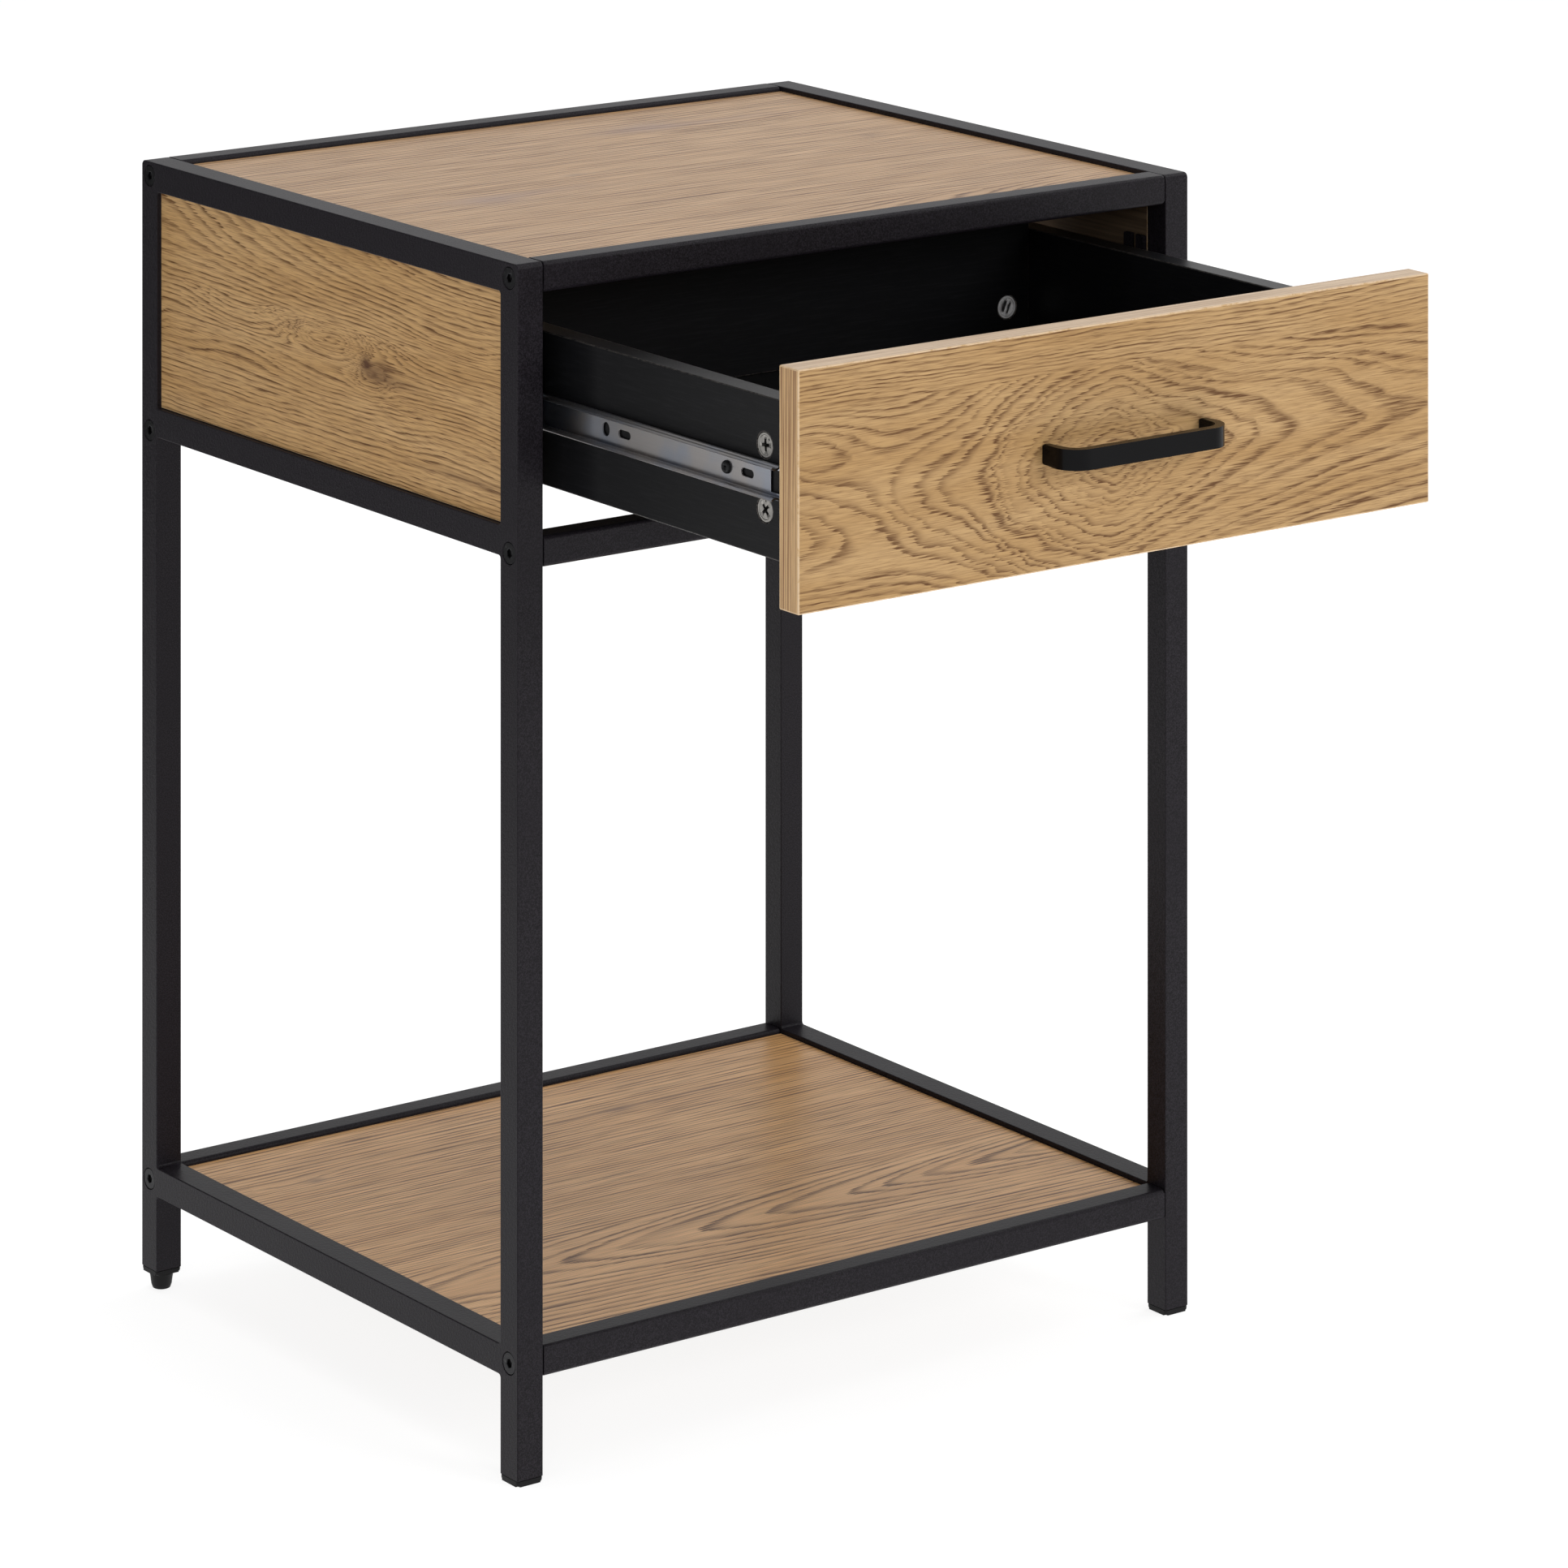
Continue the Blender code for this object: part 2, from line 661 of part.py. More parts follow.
def runner(side_name, side, drawer, halfway, zinc):
    cabinet = sheet_strip(
        f"{side_name}_runner_cabinet_member",
        cabinet_section(), SHEET, side, RUNNER_FRONT, RUNNER_LENGTH, zinc,
    )
    sink = [(-0.004, 0.0022), (-0.001, 0.0028), (0, 0.0038), (0.001, 0.0048)]
    inner_face = side * (RUNNER_WALL - SHEET)
    holes = []
    for depth in BRACKET_DEPTHS:
        spot = (inner_face, FRONT + depth, RUNNER_HEIGHT)
        holes.append(turned_tool(sink, spot, facing(-side)))
    for depth in CABINET_SLOTS:
        holes.append(slot_tool(side, SHEET / 2, depth, CABINET_SLOT_SIZE))
    combine(cabinet, holes, "DIFFERENCE")

    cage = sheet_strip(
        f"{side_name}_runner_ball_cage",
        cage_section(), CAGE_SHEET, side, CAGE_CENTRE - CAGE_LENGTH / 2, CAGE_LENGTH, zinc,
    )
    balls = []
    for row in (-1, 1):
        for index in range(BALLS_PER_ROW):
            step = (index - (BALLS_PER_ROW - 1) / 2) * CAGE_LENGTH / BALLS_PER_ROW
            shape = bmesh.new()
            bmesh.ops.create_uvsphere(shape, u_segments=8, v_segments=6, radius=BALL_RADIUS)
            spot = (
                side * (RUNNER_WALL - BALL_OUT),
                FRONT + CAGE_CENTRE + step,
                RUNNER_HEIGHT + row * BALL_OFFSET,
            )
            balls.append(tool(to_mesh("tool", shape), spot))
    combine(cage, balls, "UNION")
    cage.parent = halfway

    member = sheet_strip(
        f"{side_name}_runner_drawer_member",
        drawer_section(), SHEET, side, MEMBER_FRONT, MEMBER_LENGTH, zinc,
    )
    cuts = [slot_tool(side, WEB, MEMBER_TALL_SLOT, MEMBER_TALL_SLOT_SIZE)]
    for depth in MEMBER_LONG_SLOTS:
        cuts.append(slot_tool(side, WEB, depth, MEMBER_LONG_SLOT_SIZE))
    for depth in MEMBER_SCREWS:
        cuts.append(hole_tool(side, WEB, depth, MEMBER_SCREW_HOLE))
    x = side * (RUNNER_WALL - WEB)
    notch = FRONT + MEMBER_FRONT
    low = (x - 1.5 * SHEET, notch - PAST, RUNNER_HEIGHT - MEMBER_NOTCH)
    high = (x + 1.5 * SHEET, notch + WEB_SETBACK, RUNNER_HEIGHT + MEMBER_NOTCH)
    cuts.append(box_tool(low, high))
    combine(member, cuts, "DIFFERENCE")
    member.parent = drawer
    for thing in (cabinet, cage, member):
        thing.data.materials.clear()
        thing.data.materials.append(zinc)


def runner_screws(drawer, black, zinc):
    head = 0.0016
    pan = [
        (-0.0115, 0.0004),
        (-0.0095, 0.0014),
        (-head - 0.0001, 0.0014),
        (-head, 0.0032),
        (-0.0008, 0.0032),
        (-0.0002, 0.0024),
        (0, 0.0018),
    ]
    pan_mesh = driven_mesh("runner_screw", pan, cross_tool(*SMALL_CROSS))
    sunk = [(-0.0031, 0.0018), (-0.0018, 0.0018), (-0.0003, 0.0033), (0, 0.0033)]
    sunk_mesh = driven_mesh("bracket_screw", sunk, cross_tool(*SMALL_CROSS))
    web_face = RUNNER_WALL - WEB + SHEET / 2
    for side_name, side in (("left", -1), ("right", 1)):
        for place_name, depth in zip(("front", "back"), MEMBER_SCREWS):
            spot = (side * (web_face + GAP / 2 + head), FRONT + depth, RUNNER_HEIGHT)
            name = f"{side_name}_{place_name}_runner_screw"
            place(name, pan_mesh, black, spot, facing(side), parent=drawer)
        for place_name, depth in zip(("front", "back"), BRACKET_DEPTHS):
            spot = (side * (RUNNER_WALL - SHEET + 0.0001), FRONT + depth, RUNNER_HEIGHT)
            name = f"{side_name}_{place_name}_bracket_screw"
            place(name, sunk_mesh, zinc, spot, facing(-side))


# ---- Drawer ----------------------------------------------------------------------------------


def pocket_tool(spot, rotation):
    """The blind hole that a cam sits in."""
    radius = CAM_RADIUS + GAP
    return turned_tool([(-CAM_DEPTH - GAP, radius), (PAST, radius)], spot, rotation)


def drawer_boards(drawer, oak, black):
    edge = 0.0003
    box_front = FRONT + BOARD + GAP
    box_back = box_front + BOX_LENGTH
    inner_x = BOX_HALF_WIDTH - BOX_WALL
    groove_low = BOTTOM_TOP - BOTTOM_SHEET - GAP
    groove_high = BOTTOM_TOP + GAP

    low = (-BOARD_HALF_WIDTH, FRONT, BOARD_BOTTOM)
    high = (BOARD_HALF_WIDTH, FRONT + BOARD, BOARD_TOP)
    front = place("drawer_front", boxes("drawer_front", [(low, high)], 2 * edge), oak)
    groove = box_tool(
        (-inner_x - GROOVE_DEPTH, FRONT + BOARD - GROOVE_DEPTH, groove_low),
        (inner_x + GROOVE_DEPTH, FRONT + BOARD + PAST, groove_high),
    )
    drilling = [(-2 * BOARD, SCREW_RADIUS), (2 * BOARD, SCREW_RADIUS)]
    drillings = []
    for x in (-HANDLE_CENTRES / 2, HANDLE_CENTRES / 2):
        drillings.append(turned_tool(drilling, (x, FRONT, HANDLE_LEVEL), FACING_FRONT, 12))
    combine(front, [groove] + drillings, "DIFFERENCE")

    for side_name, side in (("left", -1), ("right", 1)):
        x0, x1 = span(side, inner_x, BOX_HALF_WIDTH)
        name = f"drawer_{side_name}_side"
        mesh = boxes(name, [((x0, box_front, BOX_BOTTOM), (x1, box_back, BOX_TOP))], edge)
        board = place(name, mesh, black)
        g0, g1 = span(side, inner_x - PAST, inner_x + GROOVE_DEPTH)
        groove_end = box_back - BOX_WALL + GROOVE_DEPTH
        cuts = [box_tool((g0, box_front - PAST, groove_low), (g1, groove_end, groove_high))]
        for up in (-CAM_SPREAD, CAM_SPREAD):
            spot = (side * BOX_HALF_WIDTH, FRONT + BOARD + CAM_INSET, RUNNER_HEIGHT + up)
            cuts.append(pocket_tool(spot, facing(side)))
        pilot = [(-PILOT_DEPTH, PILOT_RADIUS), (PAST, PILOT_RADIUS)]
        for depth in MEMBER_SCREWS:
            spot = (side * BOX_HALF_WIDTH, FRONT + depth, RUNNER_HEIGHT)
            cuts.append(turned_tool(pilot, spot, facing(side), 12))
        combine(board, cuts, "DIFFERENCE")
        board.parent = drawer

    name = "drawer_back"
    x = inner_x - GAP
    inner_y = box_back - BOX_WALL
    mesh = boxes(name, [((-x, inner_y, BOX_BOTTOM), (x, box_back, BOX_BACK_TOP))], edge)
    back = place(name, mesh, black)
    low = (-x - PAST, inner_y - PAST, groove_low)
    high = (x + PAST, inner_y + GROOVE_DEPTH, groove_high)
    cuts = [box_tool(low, high)]
    for side in (-1, 1):
        cuts.append(pocket_tool((side * BACK_CAM_X, inner_y, BACK_CAM_LEVEL), FACING_FRONT))
    combine(back, cuts, "DIFFERENCE")
    for thing, finish in ((front, oak), (back, black)):
        thing.parent = drawer
        thing.data.materials.clear()
        thing.data.materials.append(finish)

    reach = GROOVE_DEPTH - GAP
    low = (-inner_x - reach, FRONT + BOARD - reach, BOTTOM_TOP - BOTTOM_SHEET)
    high = (inner_x + reach, inner_y + reach, BOTTOM_TOP)
    place("drawer_bottom", boxes("drawer_bottom", [(low, high)]), black, parent=drawer)


def drawer_cams(drawer, cast):
    profile = [
        (-CAM_DEPTH, CAM_RADIUS - 0.0004),
        (-CAM_DEPTH + 0.0004, CAM_RADIUS),
        (-0.0003, CAM_RADIUS),
        (0, CAM_RADIUS - 0.0003),
    ]
    mesh = driven_mesh("cam", profile, cross_tool(*CAM_CROSS))
    sink = 0.0001
    for side_name, side in (("left", -1), ("right", 1)):
        for level_name, up in (("lower", -CAM_SPREAD), ("upper", CAM_SPREAD)):
            x = side * (BOX_HALF_WIDTH - sink)
            spot = (x, FRONT + BOARD + CAM_INSET, RUNNER_HEIGHT + up)
            place(f"{side_name}_{level_name}_front_cam", mesh, cast, spot, facing(side), drawer)
        inner_y = FRONT + BOARD + GAP + BOX_LENGTH - BOX_WALL
        spot = (side * BACK_CAM_X, inner_y + sink, BACK_CAM_LEVEL)
        place(f"{side_name}_back_cam", mesh, cast, spot, FACING_FRONT, drawer)


def handle(drawer, paint):
    """A bow of flat strip, bent at both ends and tapped for its screws."""
    half = (HANDLE_CENTRES + HANDLE_STRIP) / 2
    near = FRONT - GAP
    far = FRONT - HANDLE_PROJECTION
    inner_bend = HANDLE_BEND - HANDLE_STRIP
    outer = [Vector((-half, near))]
    outer += arc(Vector((HANDLE_BEND - half, far + HANDLE_BEND)), HANDLE_BEND, 180, 270, 6)
    outer += arc(Vector((half - HANDLE_BEND, far + HANDLE_BEND)), HANDLE_BEND, 270, 360, 6)
    outer += [Vector((half, near))]
    inner = [Vector((half - HANDLE_STRIP, near))]
    inner += arc(Vector((half - HANDLE_BEND, far + HANDLE_BEND)), inner_bend, 360, 270, 6)
    inner += arc(Vector((HANDLE_BEND - half, far + HANDLE_BEND)), inner_bend, 270, 180, 6)
    inner += [Vector((HANDLE_STRIP - half, near))]
    shape = bmesh.new()
    low = HANDLE_LEVEL - HANDLE_HEIGHT / 2
    far_verts = add_prism(shape, outer + inner, "Z", low, low + HANDLE_HEIGHT)
    rims = []
    for edge in shape.edges:
        upper = [vert in far_verts for vert in edge.verts]
        if all(upper) or not any(upper):
            rims.append(edge)
    bmesh.ops.bevel(shape, geom=rims, offset=0.0007, segments=2, profile=0.5, affect="EDGES")
    bow = place("drawer_handle", to_mesh("drawer_handle", shape), paint)
    thread = [(-PAST, 0.00165), (PAST, 0.00165)]
    drillings = []
    for x in (-HANDLE_CENTRES / 2, HANDLE_CENTRES / 2):
        drillings.append(turned_tool(thread, (x, FRONT, HANDLE_LEVEL), FACING_FRONT, 12))
    combine(bow, drillings, "DIFFERENCE")
    bow.parent = drawer
    bow.data.materials.clear()
    bow.data.materials.append(paint)


def handle_screws(drawer, zinc):
    head = 0.0020
    length = BOARD + 0.0105
    profile = [
        (-length, 0.0011),
        (-length + 0.0004, 0.0015),
        (-head - 0.0001, 0.0015),
        (-head, 0.0032),
        (-0.0008, 0.0032),
        (0, 0.0020),
    ]
    mesh = driven_mesh("handle_screw", profile, cross_tool(*HANDLE_CROSS))
    for side_name, side in (("left", -1), ("right", 1)):
        spot = (side * HANDLE_CENTRES / 2, FRONT + BOARD + GAP + head, HANDLE_LEVEL)
        place(f"{side_name}_handle_screw", mesh, zinc, spot, FACING_BACK, drawer)


# ---- The table -------------------------------------------------------------------------------


def build():
    for thing in list(bpy.data.objects):
        bpy.data.objects.remove(thing)
    paint = material("black_powder_coat", (0.035, 0.034, 0.036), 0.45)
    oak = material("oak_laminate", (0.52, 0.36, 0.20), 0.50)
    black_board = material("black_laminate", (0.012, 0.012, 0.013), 0.35)
    black_steel = material("black_oxide_steel", (0.030, 0.030, 0.032), 0.35, 1.0)
    plastic = material("black_plastic", (0.020, 0.020, 0.021), 0.50)
    zinc = material("zinc_plate", (0.55, 0.56, 0.60), 0.25, 1.0)
    cast = material("zinc_cast", (0.62, 0.62, 0.62), 0.35, 1.0)
    drawer = carrier("drawer_carrier", DRAWER_TRAVEL)
    halfway = carrier("ball_cage_carrier", DRAWER_TRAVEL / 2)

    side_frame("left_side_frame", -1, paint)
    side_frame("right_side_frame", 1, paint)
    cross_rails(paint)
    frame_boards(oak)
    frame_bolts(black_steel)
    leg_ends(plastic)
    for side_name, side in (("left", -1), ("right", 1)):
        runner(side_name, side, drawer, halfway, zinc)
    runner_screws(drawer, black_steel, zinc)
    drawer_boards(drawer, oak, black_board)
    drawer_cams(drawer, cast)
    handle(drawer, paint)
    handle_screws(drawer, zinc)


build()
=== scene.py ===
"""Looks of the side table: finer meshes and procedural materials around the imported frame.

Everything is in metres in the frame's own axes: X is the width, -Y is the front, Z is up.
"""

import math

import bmesh
import bpy
from mathutils import Matrix, Vector


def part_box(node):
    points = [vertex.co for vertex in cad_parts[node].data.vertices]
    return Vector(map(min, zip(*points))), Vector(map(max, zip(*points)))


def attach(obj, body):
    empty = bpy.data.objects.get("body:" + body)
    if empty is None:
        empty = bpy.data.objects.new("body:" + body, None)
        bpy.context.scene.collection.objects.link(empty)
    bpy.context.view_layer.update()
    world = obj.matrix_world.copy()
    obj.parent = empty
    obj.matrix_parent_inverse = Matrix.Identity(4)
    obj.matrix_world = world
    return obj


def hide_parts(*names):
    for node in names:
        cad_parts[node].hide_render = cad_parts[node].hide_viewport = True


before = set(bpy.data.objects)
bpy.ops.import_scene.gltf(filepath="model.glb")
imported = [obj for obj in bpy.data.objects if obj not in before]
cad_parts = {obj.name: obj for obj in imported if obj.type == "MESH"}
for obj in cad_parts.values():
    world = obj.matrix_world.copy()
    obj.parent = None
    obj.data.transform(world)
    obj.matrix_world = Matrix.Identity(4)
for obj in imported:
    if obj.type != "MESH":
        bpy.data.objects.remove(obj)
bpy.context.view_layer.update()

FRAME_BODY = "table_frame"
DRAWER = "drawer"
SIDES = (("left", -1), ("right", 1))
ENDS = ("front", "back")
LEVELS = ("bottom", "middle", "top")
AXES = "XYZ"

NUDGE = 0.001           # how far a cutter runs past the surface that it opens
ARC_STEPS = 5           # per quarter turn on small rounded edges
TUBE_RADIUS = 0.0020
WINDOW_FILLET = 0.0016  # weld ground round inside a side frame's corners
CROWN_ROUND = 0.0026    # the same on its two top corners
LEAD_IN = 0.0004        # step between a bolt's rim and its countersink
PLUG_INSERT = 0.012     # how far a leg's plug runs up inside its tube
PLUG_GAP = 0.0003       # between the plug's flange and the tube's end
TAB_SHEET = 0.0013
TAB_HALF = 0.010
TAB_ROUND = 0.002
TAB_PLACES = (-0.110, 0.110)
SHEET = 0.0010          # a runner's two members
BALL_RADIUS = 0.0020
BALL_OFFSET = 0.0095    # a row of balls above or below the runner's middle
BALL_OUT = 0.0050       # and out from the cabinet's wall
RACE_RADIUS = 0.00235
WEB = 0.0087            # the drawer member's flat, out from the cabinet's wall
CAGE_SHEET = 0.0006
CAGE_WEB = 0.0019


# ---- Node trees ------------------------------------------------------------------------------


class Finish:
    """A material and short ways to add nodes to it. Each call returns the new node's output."""

    def __init__(self, name, metallic=0.0, specular=0.5):
        self.material = bpy.data.materials.new(name)
        self.material.use_nodes = True
        self.nodes = self.material.node_tree.nodes
        self.links = self.material.node_tree.links
        self.shader = self.nodes["Principled BSDF"]
        self.set("Metallic", metallic)
        self.set("Specular IOR Level", specular)
        self.place = self.nodes.new("ShaderNodeTexCoord").outputs["Object"]

    def feed(self, socket, value):
        if isinstance(value, bpy.types.NodeSocket):
            self.links.new(value, socket)
        elif socket.type == "RGBA" and len(value) == 3:
            socket.default_value = (*value, 1.0)
        else:
            socket.default_value = value

    def set(self, name, value):
        self.feed(self.shader.inputs[name], value)

    def add(self, kind, **settings):
        node = self.nodes.new(kind)
        for name, value in settings.items():
            setattr(node, name, value)
        return node

    def math(self, operation, *values, clamp=False):
        node = self.add("ShaderNodeMath", operation=operation, use_clamp=clamp)
        for socket, value in zip(node.inputs, values):
            self.feed(socket, value)
        return node.outputs[0]

    def total(self, *values):
        result = values[0]
        for value in values[1:]:
            result = self.math("ADD", result, value)
        return result

    def times(self, *values):
        result = values[0]
        for value in values[1:]:
            result = self.math("MULTIPLY", result, value)
        return result

    def split(self, vector):
        node = self.add("ShaderNodeSeparateXYZ")
        self.links.new(vector, node.inputs[0])
        return node.outputs

    def join(self, x, y, z=0.0):
        node = self.add("ShaderNodeCombineXYZ")
        for socket, value in zip(node.inputs, (x, y, z)):
            self.feed(socket, value)
        return node.outputs[0]

    def noise(self, vector, scale=1.0, detail=2.0, rough=0.5):
        """Noise from 0 to 1, centred on a half."""
        node = self.add("ShaderNodeTexNoise")
        self.links.new(vector, node.inputs["Vector"])
        self.feed(node.inputs["Scale"], scale)
        self.feed(node.inputs["Detail"], detail)
        self.feed(node.inputs["Roughness"], rough)
        return node.outputs["Fac"]

    def streaks(self, u, v, across, over, slice_at=0.0, detail=2.0, rough=0.5):
        """Noise drawn out along u, with across and over as its scales along u and v."""
        return self.noise(self.join(self.times(u, across), self.times(v, over), slice_at), 1, detail, rough)

    def rise(self, value, low, high):
        """0 below low, 1 above high, and a smooth step in between."""
        node = self.add("ShaderNodeMapRange", interpolation_type="SMOOTHSTEP")
        self.links.new(value, node.inputs["Value"])
        self.feed(node.inputs["From Min"], low)
        self.feed(node.inputs["From Max"], high)
        return node.outputs["Result"]

    def spread(self, value, low, high):
        """Takes 0 to 1 to low to high."""
        node = self.add("ShaderNodeMapRange")
        self.links.new(value, node.inputs["Value"])
        self.feed(node.inputs["To Min"], low)
        self.feed(node.inputs["To Max"], high)
        return node.outputs["Result"]

    def mix(self, share, first, second):
        node = self.add("ShaderNodeMix", data_type="RGBA")
        self.feed(node.inputs["Factor"], share)
        self.feed(node.inputs[6], first)
        self.feed(node.inputs[7], second)
        return node.outputs[2]

    def bump(self, height, depth, normal=None):
        node = self.add("ShaderNodeBump")
        self.feed(node.inputs["Distance"], depth)
        self.links.new(height, node.inputs["Height"])
        if normal:
            self.links.new(normal, node.inputs["Normal"])
        self.links.new(node.outputs["Normal"], self.shader.inputs["Normal"])

    def arris(self, radius):
        """How near a sharp edge is, from 0 to 1, and the normal of a surface with its edges eased."""
        eased = self.add("ShaderNodeBevel", samples=6)
        self.feed(eased.inputs["Radius"], radius)
        flat = self.add("ShaderNodeNewGeometry").outputs["True Normal"]
        agree = self.add("ShaderNodeVectorMath", operation="DOT_PRODUCT")
        self.links.new(eased.outputs["Normal"], agree.inputs[0])
        self.links.new(flat, agree.inputs[1])
        near = self.math("SUBTRACT", 1.0, agree.outputs["Value"])
        return self.rise(near, 0.02, 0.2), eased.outputs["Normal"]


def linear(red, green, blue):
    """A colour given as 0 to 255 in sRGB, as the shader's linear values."""
    values = []
    for channel in (red, green, blue):
        share = channel / 255
        low = share <= 0.04045
        values.append(share / 12.92 if low else ((share + 0.055) / 1.055) ** 2.4)
    return tuple(values)


# ---- Materials -------------------------------------------------------------------------------


def powder_coat(name):
    """Satin black with the fine orange peel and sparkle of a baked powder."""
    made = Finish(name, specular=0.13)
    grit = made.noise(made.place, 1700, 2, 0.6)
    peel = made.noise(made.place, 600, 1)
    cloud = made.noise(made.place, 14, 2)
    dark = made.mix(made.rise(grit, 0.35, 0.7), linear(19, 17, 20), linear(46, 42, 48))
    even = made.times(made.rise(cloud, 0.3, 0.75), 0.5)
    made.set("Base Color", made.mix(even, dark, linear(29, 26, 31)))
    made.set("Roughness", made.total(made.spread(grit, 0.30, 0.48), made.spread(cloud, -0.03, 0.03)))
    made.bump(made.total(grit, made.times(peel, 1.5)), 0.00007)
    return made.material


def speckled(name, patch, step, shades, grain, gloss, depth, **look):
    """A finish in two shades, with a fine grain in its gloss and its surface.

    patch and grain are noises as (scale, detail, roughness), step sharpens the patches between
    two levels, and gloss is the range of roughness.
    """
    made = Finish(name, **look)
    cloud = made.noise(made.place, *patch)
    fine = made.noise(made.place, *grain)
    made.set("Base Color", made.mix(made.rise(cloud, *step), *shades))
    made.set("Roughness", made.spread(fine, *gloss))
    made.bump(fine, depth)
    return made.material


def black_laminate(name, across, tone=18):
    """Melamine on the drawer box: nearly black, with a faint pressed grain, and arrises lightened in chipped
    patches that are partly wear and partly a painted highlight.

    tone is the darker shade, 0 to 255, and across the axis that the grain crosses.
    """
    made = Finish(name, specular=0.16)
    x, y, z = made.split(made.place)
    with_grain, over_grain = {"X": (y, x), "Y": (x, y)}[across]
    streaks = made.join(made.times(with_grain, 55), made.times(over_grain, 1400), made.times(z, 1400))
    pore = made.noise(streaks, 1, 2)
    fleck = made.noise(made.place, 1500, 2)
    low = linear(tone, tone, tone + 2)
    high = linear(tone + 7, tone + 7, tone + 9)
    arris, eased = made.arris(0.0010)
    chips = made.rise(made.noise(made.place, 700, 3, 0.7), 0.36, 0.58)
    # Painted highlight and wear: a pale grey along the arrises in chipped patches.
    wear_and_highlight = made.times(arris, chips, 0.8)
    sheet = made.mix(made.rise(pore, 0.45, 0.75), low, high)
    made.set("Base Color", made.mix(wear_and_highlight, sheet, linear(150, 142, 136)))
    made.set("Roughness", made.spread(fleck, 0.26, 0.42))
    made.bump(made.total(pore, made.times(fleck, 0.4)), 0.00003, eased)
    return made.material


def zinc_plate(name):
    """Rolled steel with clear-blue zinc: long faint rolling lines and a cool and warm cast."""
    made = Finish(name, metallic=1.0)
    x, y, z = made.split(made.place)
    lines = made.join(made.times(x, 900), made.times(y, 18), made.times(z, 2600))
    roll = made.noise(lines, 1, 3, 0.6)
    cast = made.noise(made.place, 45, 2)
    cool = made.mix(made.rise(cast, 0.35, 0.65), linear(176, 181, 192), linear(193, 188, 185))
    made.set("Base Color", made.mix(made.times(roll, 0.35), cool, linear(146, 148, 154)))
    made.set("Roughness", made.spread(roll, 0.26, 0.36))
    made.bump(roll, 0.00001)
    return made.material


def cast_zinc(name, tone, metallic, outward):
    """Die-cast zinc, with painted shade on every face that doesn't face along the axis that it is seen from,
    which darkens its recesses.
    """
    made = Finish(name, metallic=metallic)
    normal = made.split(made.add("ShaderNodeNewGeometry").outputs["True Normal"])[AXES.index(outward)]
    sunk = made.math("SUBTRACT", 1.0, made.rise(made.math("ABSOLUTE", normal), 0.6, 0.95))
    pit = made.noise(made.place, 1900, 3, 0.65)
    stain = made.noise(made.place, 300, 3)
    low = [channel * 0.8 for channel in tone]
    face = made.mix(made.rise(stain, 0.4, 0.75), tone, low)
    # Painted shade: faces turned away from the outward axis, such as the walls of the recesses, are darkened
    # towards near black.
    made.set("Base Color", made.mix(made.times(sunk, 0.9), face, linear(22, 21, 22)))
    made.set("Roughness", made.spread(pit, 0.3, 0.55))
    made.bump(pit, 0.00005)
    return made.material


PALE_OAK = linear(214, 175, 120)
OAK = linear(199, 158, 102)
DARK_OAK = linear(104, 70, 42)
OAK_RIM = linear(226, 196, 158)
KNOT = linear(92, 62, 44)
BLUSH = linear(146, 118, 108)


